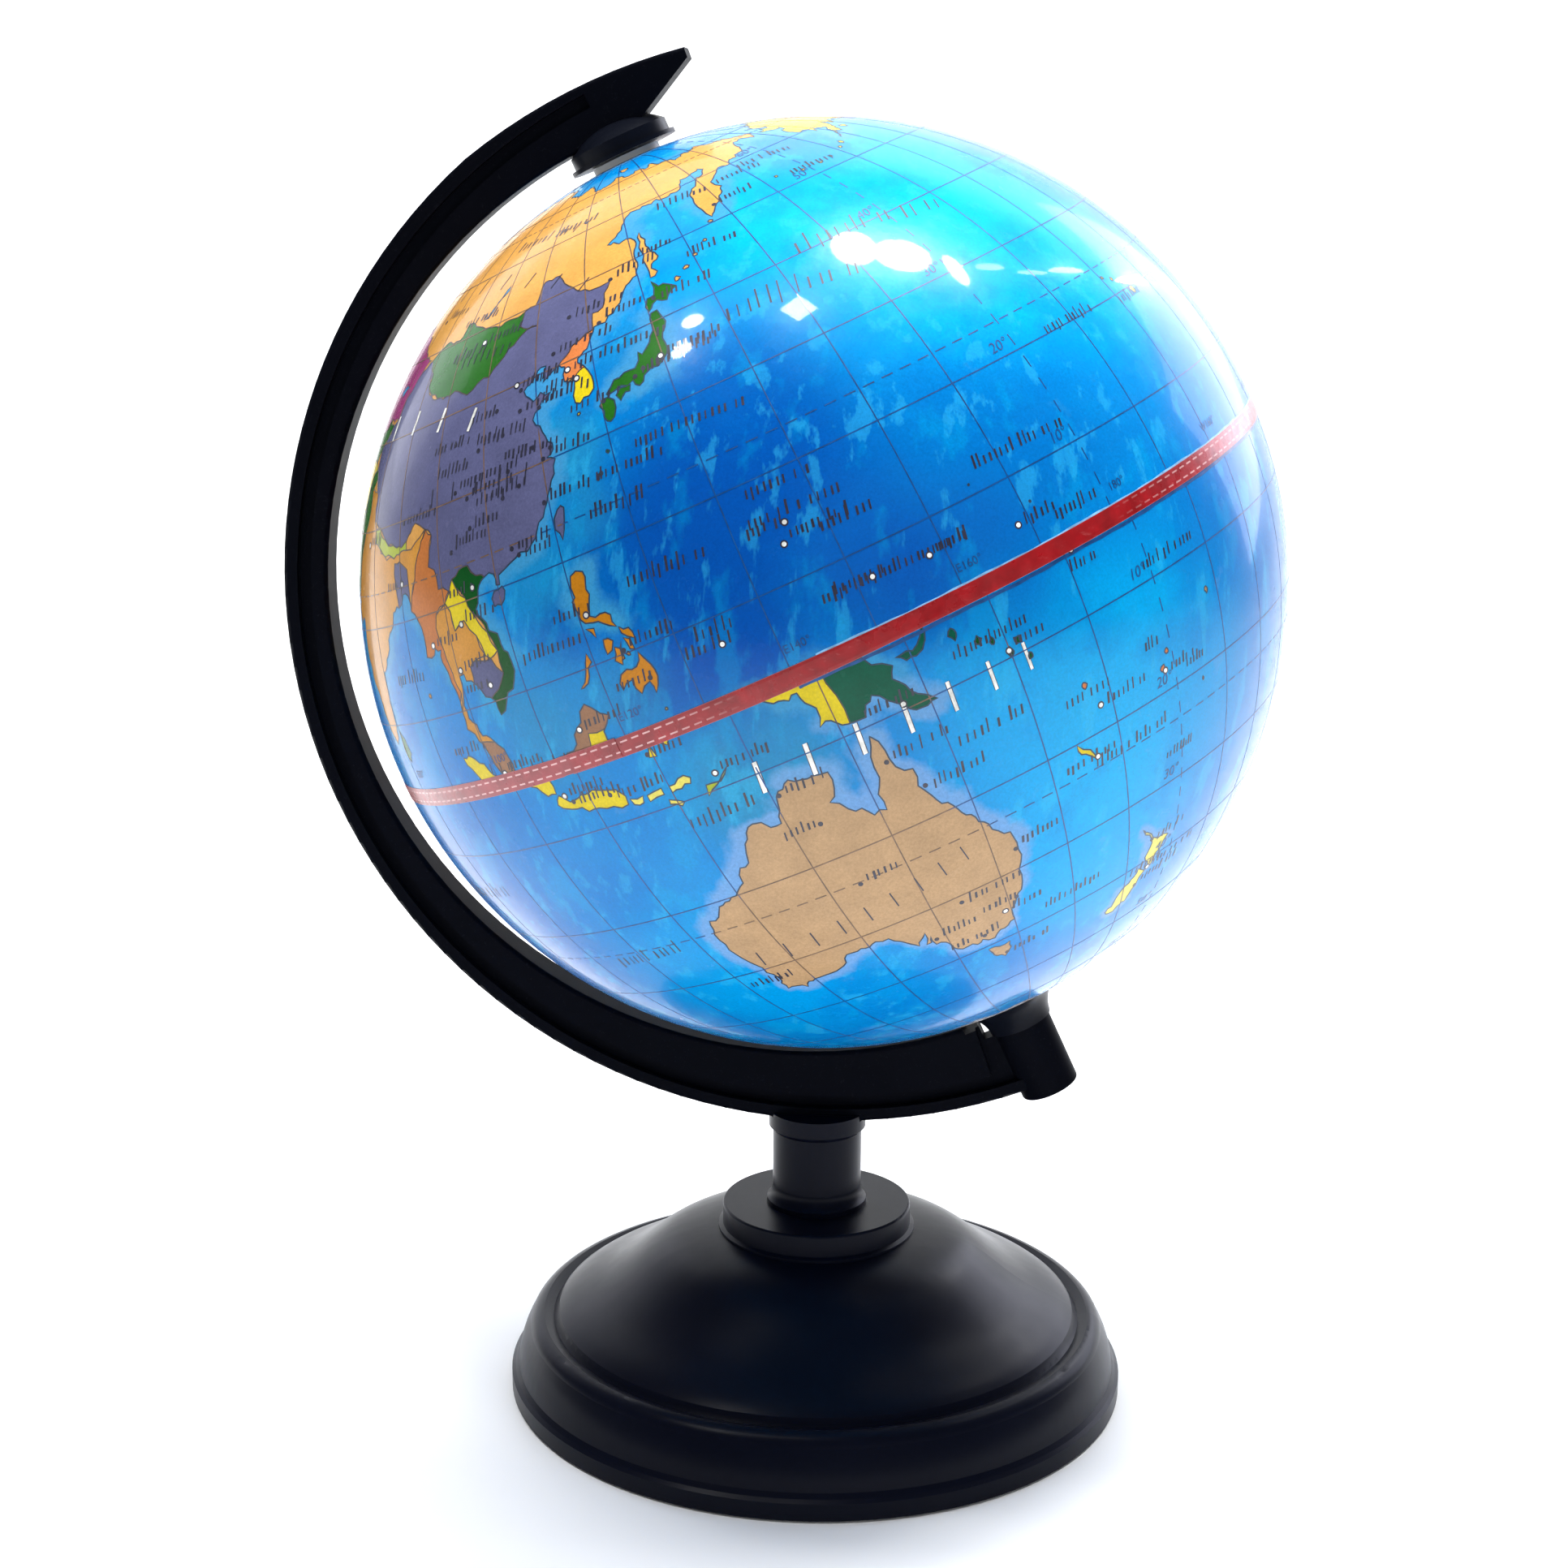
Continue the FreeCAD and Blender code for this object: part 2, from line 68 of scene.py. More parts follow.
def ball_lat(lat, north):
    """Latitude on the ball, counted from the equator towards this half's own pole."""
    if north:
        return np.interp(lat, NORTH_PRINT, NORTH_BALL)
    return np.interp(-lat, SOUTH_PRINT, SOUTH_BALL)


def ball_lon(lon, north):
    return lon + (NORTH_SHIFT if north else 0.0) - SIDE_LON


def disc(lon, lat, north):
    """Flat polar map of one half, in degrees from the pole."""
    reach = 90.0 - ball_lat(lat, north)
    turn = np.radians(ball_lon(lon, north))
    return reach * np.cos(turn), reach * np.sin(turn)


def from_disc(x, y, north, radius):
    """Points of the polar map put on the ball, as an n x 3 array."""
    up = np.radians(90.0 - np.hypot(x, y))
    turn = np.arctan2(y, x)
    s, f, a = (np.array(v) for v in (SIDE, FRONT, AXIS))
    out = (np.cos(up) * np.cos(turn))[:, None] * s + (np.cos(up) * np.sin(turn))[:, None] * f
    out = out + (np.sin(up) * (1 if north else -1))[:, None] * a
    return np.array(CENTRE) + out * radius


def on_ball(lon, lat):
    north = lat >= 0
    x, y = disc(np.array([lon]), np.array([lat]), north)
    return Vector(from_disc(x, y, north, BALL_R)[0])


def outward(lon, lat):
    return (on_ball(lon, lat) - CENTRE).normalized()


# ---- tables of the printed map, in degrees: longitude,latitude -------------------------------
def numbers(text):
    return [tuple(float(v) for v in group.split(",")) for group in text.split()]


def table(text):
    """Rows of plain words, each row followed by its groups of numbers."""
    rows = []
    for token in text.split():
        if "," in token:
            rows[-1][1].append(numbers(token)[0])
        elif rows and not rows[-1][1]:
            rows[-1][0].append(token)
        else:
            rows.append(([token], []))
    return rows


# fill colour of each kind of land, scene-linear
PAINT = {
    "orange": (0.62, 0.31, 0.07),
    "lavender": (0.095, 0.10, 0.205),
    "green": (0.016, 0.125, 0.010),
    "dark_green": (0.002, 0.07, 0.01),
    "sea_green": (0.001, 0.085, 0.047),
    "magenta": (0.29, 0.04, 0.16),
    "salmon": (0.62, 0.19, 0.055),
    "yellow": (0.66, 0.52, 0.012),
    "lemon": (0.72, 0.64, 0.12),
    "ochre": (0.55, 0.25, 0.035),
    "brown": (0.46, 0.15, 0.035),
    "amber": (0.50, 0.19, 0.010),
    "tan": (0.43, 0.275, 0.145),
    "dusk": (0.28, 0.145, 0.08),
    "lime": (0.36, 0.42, 0.03),
    "pink": (0.58, 0.21, 0.27),
    "ice": (0.58, 0.61, 0.68),
    "water": None,
}

# each land: name, colour, outline
LANDS = table("""
eurasia orange 190,66 187,64.5 182,65.5 179,64.5 177.5,62.5 174,61.8 170,60 166,60 163.5,58.5
162,57.8 163,56 162,54.8 160,53.2 158.5,52.5 156.7,51 156,53 155.6,55 156,57 158,58.3 161.8,60.3
164,61.8 163,62.5 160,61.8 157,61.7 155,59.3 152,59 149,59.6 146,59.3 143,59.3 140,57.8 137.5,55.5
135.5,54.7 138,53.9 139.5,54.2 141.3,53.2 140.5,51 140.5,48.5 138.5,46.8 136,44.5 133,42.8 131,42.9
130.7,42.3 129.7,41 127.6,39.8 127.5,39.3 128.4,38.6 129.4,37 129.4,35.5 128.5,34.9 127,34.5
126.3,34.8 126.5,36.5 126.7,37.5 125,37.8 125.3,39.5 124.3,40 122.8,39.5 121.3,38.8 121.7,40
122,40.7 121,40.8 119,39.3 117.8,38.8 118.8,37.7 119.5,37.1 120.8,37.8 122.5,37.3 122,36.8 120.3,36
119.2,35 120.3,34 121,32.6 121.9,31.6 121.9,30.9 120.8,30.3 122,29.8 121.5,28.4 120.5,27.2 119.7,26
118.8,24.8 117.5,23.8 116.5,22.9 114.5,22.5 113.5,22.1 111.8,21.6 110.5,21.2 110.4,20.3 109.8,20.4
109.7,21.5 108.3,21.6 107,21 106.5,20 105.7,18.9 106.5,17.8 108.3,16 109.1,14 109.3,12.2 108.8,11.4
107.2,10.4 106.5,9.6 105,8.6 104.9,10 103.5,10.7 102.6,12 101,12.7 100.9,13.4 100,13.3 99.9,12
99.2,10.5 99.3,9.2 100.3,8.4 100.6,7.2 101.8,6.8 102.5,6 103.4,4.5 103.4,3 104.2,1.4 103.4,1.4
101.3,2.9 100.6,4.3 100.3,5.8 99.6,6.8 98.7,8 98.3,8.2 98.5,10 98.6,12 98,14 97.6,16.3 96.5,16.6
95.3,15.8 94.3,16 94.5,18 93.7,19.7 92.3,20.8 91.8,22.4 90.5,22.7 89.8,21.8 88.2,21.7 87,21.2
86.5,20 85,19.3 82.3,16.8 80.3,15.6 80.2,13.5 79.8,11.5 79,9.4 78,8.3 77.5,8 76.5,9 75.5,11.5
74.5,14 73.4,16.5 72.8,19 72.8,21.3 72.2,21.1 70.5,20.8 69,22.3 70.3,22.9 68.7,23.4 67.3,24.8
66.5,25.3 62,25.2 58.8,25.5 57,26.9 54,26.6 51.5,27.9 50,30.1 48.6,30 48,29.5 50,26.8 50.8,25
51.5,25.8 51.6,24.6 54,24.2 56.2,26.2 56.5,24.5 58.7,23.6 59.8,22.4 58,20.4 57.6,18.9 55.2,17.5
52,15.7 48.5,14 45,12.8 43.4,12.7 42.8,15 42.5,16.8 40.8,19.7 39,21.5 38.2,24 36,26.5 34.7,28.1
34.9,29.5 34.2,27.8 32.6,29.9 32.4,31.3 34.3,31.3 35.1,33 35.9,35 36,36.8 34.5,36.8 32.5,36.1
30.6,36.8 29.5,36.3 28,36.8 27,38 26.3,39.4 27.5,40.4 29,41 31.3,41.1 33.3,42 35.2,42 36.8,41.2
39,41 41.5,41.5 41.5,42.5 39.5,43.8 37.3,45 38.2,47 35.5,46.4 36.5,45.3 35.4,45 33.7,44.4 32.6,45.4
33.6,46.1 31,46.6 29.7,45.2 28.6,43.8 27.7,42.5 28.2,41.5 28.9,41.2 27,40.7 26,40.8 24,40.8
23.3,40.2 23,39 24,38 23.1,36.5 21.7,36.8 21.2,38.3 19.5,40.3 19.5,41.8 17,43 15.2,44.3 13.8,45.1
13.7,45.7 12.4,45.3 12.5,44.2 14,42.5 16,41.8 18.4,40.3 17,40.5 16.6,39.7 17.1,39 16,37.9 15.7,39.5
14.5,40.7 12.3,41.7 10.5,43 9,44.4 7.5,43.7 5,43.3 3.1,43.1 3,41.9 0.8,40.9 -0.3,39.5 0,38.7 -1.5,37
-4.5,36.6 -6,36.1 -7,37.1 -9,37 -9.4,38.8 -8.7,41 -9.2,43.1 -7,43.6 -2,43.4 -1.3,44.5 -1.2,46
-2.8,47.5 -4.7,48.3 -1.6,48.7 -1.5,49.7 0.2,49.6 1.6,50.7 3.5,51.4 5,53.2 8,53.7 8.6,55 8.1,56.9
10.6,57.7 10.5,56 10,54.5 12.5,54.4 14.3,53.9 18.5,54.7 21,55.3 21.5,57.4 24.3,57.3 23.7,58.9
28,59.5 30,59.9 28,60.5 23,59.9 21.4,61 21.5,63 25.3,65 24.2,65.8 21.5,64.5 17.3,61.7 17.2,60.6
18.8,59.8 16.7,58.3 16.3,56.6 14.3,55.5 12.8,55.5 11.5,58.5 10.5,59.3 8,58.2 5.6,58.8 5,61.5 8,63.5
11.5,65 14.5,68 19,69.8 25,71 30.5,70 37,68.8 41,67 38.5,66.3 34,66.7 32.8,66.9 35,64.3 38,64
40.5,64.8 40,66 43.5,66.3 44,68.3 46.5,68 46,66.8 54,68.4 60,68.7 65,69 67,68.8 68.5,71 68,72.5
72.5,72.8 72.6,71 73.5,68.5 77,68.5 75,70 78,72.3 82,73.6 87,75 98,76.2 104,77.7 113,76 113,74
118,73 127,73.5 129,71.3 137,71.5 140,72.5 150,71.5 160,70 170,69.8 176,69.5 180,69 185,67.5
africa ochre -6,35.8 -2,35.1 3,36.8 10,37.3 11,35.5 10.3,34 12.5,32.8 15.3,32 19,30.3 20,32.3
23,32.6 25.2,31.5 29,30.8 31.5,31.5 32.6,31.2 32.6,29.9 34,27 35.6,24 37.2,21 37.5,18.8 39.5,15.3
43,12 43.2,11.5 44.5,10.4 47,11.2 51.2,11.9 50.8,9.3 48,4.5 46,2.5 42.5,-0.5 41,-2 39.3,-5 39.5,-8
40.6,-11 40.6,-15 37,-17.8 35,-20 35.5,-24 32.8,-26 32,-28.8 29,-32.3 25.5,-34 20,-34.8 18.3,-34
18,-32 16,-28.5 14.5,-23 12,-18 13.5,-12 12.3,-6 9,-1 9.5,1 9.7,4 8.5,4.6 6,4.3 4,6.4 1,5.9 -2,4.8
-7.5,4.4 -11,6.8 -13.3,8.8 -15,11 -17,13 -17.3,14.8 -16.3,19 -17,21.5 -14.8,25.8 -12,28 -9.8,29.7
-9.7,31.5 -6.5,34.2
north_america pink -168,65.6 -161.5,66.3 -166,68.3 -156.5,71.3 -141,69.7 -128,70 -115,68 -108,68
-95,68.5 -94,72 -90,69 -82,69.5 -82,67 -87,65 -94,61 -94.5,58.8 -88,56.5 -82,55.2 -82,52.5
-79.5,51.5 -79,54.5 -77,57 -78.5,59 -77.5,62.4 -73,62 -70,61 -69.5,58.8 -65,59.8 -64,60.3 -62,57.5
-57,54 -56,52 -60,50 -66,50.2 -69,48.5 -65,48.5 -65,46 -61,46 -60,47 -61,45.3 -66,43.5 -67,45
-70,43.6 -70.5,42 -74,40.6 -76,37 -75.6,35.2 -78,33.9 -81.2,31.5 -80,27 -80.6,25.2 -82,27 -82.8,29
-84.5,30 -89.3,30.2 -90,29 -94.5,29.4 -97.3,27.8 -97.7,25 -97.4,20.8 -95.5,18.6 -92,18.5 -90.5,20.5
-87,21.5 -88,18 -88.5,16 -83.5,15.3 -83.6,11 -81.5,9 -79.5,9.6 -77.3,8.5 -77.8,7.2 -80,7.3 -82.8,8.3
-85.7,10 -87.5,13 -92,14.5 -96,15.7 -101,17.3 -105.5,20.3 -105.5,22.5 -109.3,25.8 -112.7,30
-114.8,31.7 -112,27 -109.5,23 -112.2,25 -114.9,28 -116.5,31 -118.5,34 -120.6,34.6 -122.4,37.2
-124.3,40.4 -124,46 -124.7,48.4 -122.5,49 -127.5,51 -130.5,54.5 -134,58 -139,59.8 -145,60.3
-151,59.3 -151.5,61 -154,59 -158,56.5 -163,55 -160,56.5 -157.3,58.8 -162,58.7 -162,60 -166,61.6
-164.5,63.1 -161,64.5 -166,64.6
south_america green -77.3,8.5 -75.5,10.7 -72,12 -71.5,10.8 -68,11.5 -62,10.7 -60,8.5 -57,6 -51.5,4.5
-50,1 -48.5,-1 -44,-2.5 -40,-3 -35.2,-5.5 -35,-8.5 -39,-13 -39,-18 -41,-22 -45,-23.5 -48.6,-26
-49,-28.5 -53.5,-33.8 -57,-36.5 -58,-38.3 -62,-39 -65,-41.5 -65.5,-45 -67.5,-46.5 -69,-51.5
-65.3,-54.8 -70.5,-55 -74.5,-51 -75.5,-47 -73.5,-41.8 -73.5,-37 -71.5,-32 -70.3,-27 -70.2,-18.5
-76.3,-13.8 -79.7,-7 -81.2,-5 -80,-3 -80.8,-1 -80,0.8 -77.3,3.8 -77.5,7
australia tan 142.5,-10.8 143.4,-12.5 143.7,-14.2 145.3,-15 146,-18 147.8,-19.8 149.3,-21.5
150.8,-23.3 153,-25.3 153.5,-28.5 152.6,-32 151.2,-34 150,-37.3 147.5,-38 146.3,-39 144.5,-38.3
143.5,-38.8 140.5,-38 139.5,-36 138.2,-35.7 138.1,-34 137.7,-35.1 137,-35.1 137.6,-33.2 136,-34.9
134.2,-33 131.2,-31.5 128.9,-31.7 126,-32.3 123.6,-33.9 120,-34 118,-35 115.2,-34.3 115.7,-32
114.6,-29 113.3,-26 113.8,-23 114.2,-21.9 116.8,-20.6 119,-20 121.5,-19 122.3,-17.5 123.6,-17.3
124.5,-15.5 126.5,-14 128.2,-14.9 129.5,-14.9 130.5,-12.5 132.5,-11.5 135.2,-12 136.8,-12.2
135.5,-14.8 137,-16 139.3,-17.5 140.8,-17.5 141.6,-14.5 141.7,-12.5
antarctica ice 0,-70 15,-70 30,-69 45,-67.5 55,-66 70,-68.5 80,-68 95,-66.3 110,-66.2 125,-66.5
140,-66.5 155,-69 165,-71 170,-74 165,-78 180,-78.3 -160,-78 -150,-77 -140,-75.5 -125,-74 -110,-74.7
-100,-72.5 -85,-73 -75,-71 -68,-67 -58,-63.3 -62,-66 -60,-70 -62,-75 -50,-78 -35,-78 -25,-74
-12,-71.5
borneo yellow 109,1.5 109.7,2 111.3,2.5 113,3.2 114,4.6 115.5,5.5 116.8,7 117.6,6.4 119.2,5.3
117.8,4 117.9,2.5 119,1 117.6,0.6 117.4,-0.9 116.5,-2 116.2,-3.9 114.6,-4 112,-3.3 110.2,-2.8
109.3,-0.5
new_guinea yellow 131,-0.8 132.8,-0.4 134.1,-0.9 134.4,-2.5 135,-3.3 137.7,-1.5 141,-2.6 144.5,-3.9
145.8,-5.4 147.8,-6.2 147.2,-7.2 149,-9.2 150.8,-10.3 149.5,-10.5 147.2,-9.6 144.5,-7.7 143,-9.2
141,-9.1 139,-8.1 138.2,-8.4 138.7,-6.8 137.5,-5 133.5,-4 132.7,-2.9 133.9,-2.4 131.9,-1.7
madagascar orange 49.3,-12 50.4,-15.5 49.4,-18 47.2,-25 45.2,-25.5 43.5,-22.5 44.4,-19.8 44.3,-16.5
47,-15.3
sumatra yellow 95.3,5.6 97.5,5.2 99.5,3.3 101,2.2 103,0.5 104.5,-2 106,-3 105.8,-5.8 104.5,-5.8
102.3,-4 100.5,-1.5 98.8,1.5 97,3
java yellow 105.2,-6.8 106,-6 108.5,-6.7 110.8,-6.4 112.6,-6.8 114.5,-7.8 114.3,-8.6 110.5,-8.1
107.5,-7.6
celebes yellow 120,1 123,0.9 125,1.6 124.3,0.4 120.3,0.4 120.1,-0.9 121.3,-0.9 123.3,-0.6 121.5,-2
122.5,-4 122.3,-5 121.5,-4.6 121,-2.7 120.3,-3 120.4,-5.5 119.5,-5.4 119.6,-3.5 118.9,-2.8
119.8,-0.2
gilolo yellow 127.6,2 128,1 128.7,1.3 128,0 128,-0.8 127.4,0.5
new_britain sea_green 148.4,-5.7 151,-5.5 152.2,-4.2 152,-5.4 150.5,-6.3
timor lime 124,-9.3 127.2,-8.4 125.2,-9.6 123.7,-10.3
flores lemon 120,-8.3 122.8,-8.2 122.5,-8.7 120,-8.9
sumbawa lemon 117,-8.4 119,-8.2 119,-8.8 117,-9
sumba lemon 119.2,-9.4 120.8,-10 120.3,-10.3 119.1,-9.8
bali lemon 114.8,-8.2 116.5,-8.3 116.2,-8.9 115,-8.8
ceram yellow 128,-3 130.8,-3 129.5,-3.6 128,-3.6
luzon amber 120.5,18.5 122.2,18.5 122.2,16.3 121.4,14.4 123.9,13.8 124.1,12.6 122.7,13.3 121.6,13.7
120.6,13.9 120.1,15 119.8,16.2 120.3,16.5
mindanao amber 125.4,9.7 126.3,8.2 126.5,7 125.6,5.6 125.4,6.8 124,6 123.5,7.5 122.1,6.9 122,7.6
123.4,8.6 124.6,8.5
samar amber 124.3,12.5 125.4,12.1 125.7,11 124.9,11.4
leyte amber 124.4,11.4 125.1,11.1 125.2,10.1 124.7,10.2
negros amber 123,10.9 123.6,10.6 123.2,9.1 122.5,9.7
panay amber 122,11.9 123.1,11.5 122.6,10.7 121.9,10.5
cebu amber 124,11.2 123.7,9.6 123.3,9.5 123.6,10.6
palawan amber 119.4,11.3 119.7,10.4 117.6,8.4 117.2,8.4
mindoro amber 120.4,13.4 121.4,13.2 121.3,12.3
formosa lavender 121.5,25.2 121.9,24.9 121.3,22.9 120.8,22 120.1,23.2 120.9,24.9
hainan lavender 108.7,19.3 109.3,19.9 110.7,20.1 111,19.6 110,18.4 108.9,18.5
kyushu green 130.3,33.8 131.1,33.8 131.9,33.2 131.4,31.4 130.8,31.1 130.3,31.3 130.2,32.5 129.7,33.2
shikoku green 132.3,33.6 133.1,34.2 134.6,34.1 134.3,33.4 133.2,33.2 132.8,32.8
honshu green 131,34.2 132.5,35.4 135.8,35.6 136.8,37.3 137.3,36.8 138.8,37.8 139.8,39 139.9,40.5
140.3,41.2 141.3,41.3 141.6,40.4 142,39.4 141,38.2 140.9,36.9 140.7,35.7 139.8,35.1 138.9,34.7
137.3,34.6 136.8,34.4 135.8,33.5 135.1,34.4 133.3,34.4 131.2,34
hokkaido green 140.1,41.5 141,42.3 141.8,42.6 143.3,42 144.5,43 145.4,43.3 144.3,44 141.8,45.5
141.6,43.4 140.4,43.3 139.8,42.3
sakhalin orange 142.6,54.3 143.3,52.5 143.5,50 144.5,48.7 142.7,47.3 143.5,46.5 142,46 142,48
142.2,50 141.7,51.5 142,53.5
ceylon green 80,9.6 81.3,8.5 81.8,7 80.7,6 79.9,6.7 79.9,8.3
tasmania tan 144.7,-40.7 146.5,-41.1 148.3,-40.9 148.2,-42.2 146.8,-43.6 145.5,-42.8
zealand_n lemon 172.7,-34.5 174.6,-36 175.6,-37 178.5,-37.7 177,-39.4 175.2,-41.6 173.8,-39.3
174.7,-38
zealand_s lemon 172.7,-40.6 174.3,-41.7 172.8,-43.7 171,-45.8 168.5,-46.6 166.5,-45.8 168.5,-44
171,-42.4
caledonia yellow 164,-20.1 165.6,-21.2 167,-22.3 166.3,-22.5 164.3,-21.2
britain magenta -5.5,50.1 1.4,51.2 1.7,52.7 0.2,53 -1.5,55 -2,57.6 -4,57.7 -3.2,58.6 -5,58.5 -6,56.6
-4.8,54.8 -3,54 -4.5,53.2 -5.2,51.8 -3,51.4
ireland green -6.2,53.5 -6.2,52.3 -10,51.6 -9.9,53.5 -8.3,54.6 -7.3,55.3 -5.6,54.6
iceland yellow -22,64 -18.5,63.4 -14,64.8 -15,66.2 -20,66 -24,65.5
new_land orange 53,71 57,70.6 60,73.5 68.5,76.7 62,76.2 55.5,74 53,72
spitsbergen lime 11,79 15,77 20,78.5 26,80 15,80
greenland ice -44,60 -52,65 -54,69.5 -58,75 -68,76.3 -73,78.3 -60,82 -33,83.5 -20,81.5 -18,77 -22,72
-25,69 -40,65
baffin pink -62,66.5 -66,62 -72,64.5 -74,68 -82,70 -90,72 -85,73.8 -75,72.5 -67,69.5
victoria pink -117,69 -105,69 -105,72.5 -115,73.3
ellesmere pink -90,77 -78,76.5 -62,82.5 -80,83 -95,80.5
banks pink -124,71.5 -118,72.5 -121,74.5
cuba yellow -84.8,21.9 -80,23 -74.3,20.2 -77.6,19.9 -81.8,22.2
hispaniola salmon -74,19.8 -69,19.3 -68.5,18.5 -74.3,18.2
newfoundland pink -59.3,47.7 -56,51.5 -53.5,47.5
fire_land lavender -69,-53 -65.3,-54.8 -70,-55.3 -72,-53.8
sicily green 12.5,38 15.6,38.2 15.1,36.8
sardinia green 8.2,41 9.7,41 9.6,39.2 8.5,39
crete magenta 23.6,35.5 26.3,35.3 24.8,34.9
cyprus yellow 32.3,35 34.4,35.6 33.5,34.6
""")

# small islands: colour, then longitude,latitude,size in degrees
ISLETS = table("""
sea_green 154.9,-6,1.1 dark_green 157.2,-7.4,0.8 158.6,-8,0.7 160.1,-9.6,0.9 161.2,-8.9,0.8
162,-10.6,0.7 salmon 166.9,-15.3,0.8 168.3,-17.7,0.5 178,-17.8,0.9 179.2,-16.5,0.7 tan
-172.1,-13.7,0.6 salmon -175.2,-21.1,0.4 orange 146,44.2,0.9 148,45.2,0.8 150.3,46.4,0.6
153,47.8,0.5 155.8,50.4,0.7 yellow 173,52.9,0.5 178.5,51.9,0.5 -177,51.8,0.5 -173.5,52.2,0.6
-168.5,53.1,0.7 -166,54,0.9 -155.5,19.6,1 -156.6,20.8,0.5 -158,21.5,0.5 -159.6,22.1,0.4
144.8,13.5,0.3 134.5,7.5,0.3 green 127.8,26.5,0.5 129.4,28.3,0.4 yellow 126.5,33.4,0.5 ochre
92.8,12.3,0.6 amber 124.3,9.9,0.5 yellow 125.9,3.9,0.3 126.6,-3.4,0.8 tan 57.6,-20.2,0.5 magenta
55.5,-21.1,0.5 tan -59,-51.7,1.6 yellow -16.5,28.3,0.8 green -25.5,37.8,0.4 -77.3,18.1,0.9 yellow
-66.4,18.2,0.7 salmon -61.3,10.5,0.5 lime -90.8,-0.4,0.9 yellow 165.5,11,0.2 171,7.1,0.2
158.2,6.9,0.3 magenta 70,-49.3,1.3 yellow -153.5,57.5,1.3 pink -132,53.3,1.1 -126,49.7,1.4 orange
96,80,2 143,75,2
""")

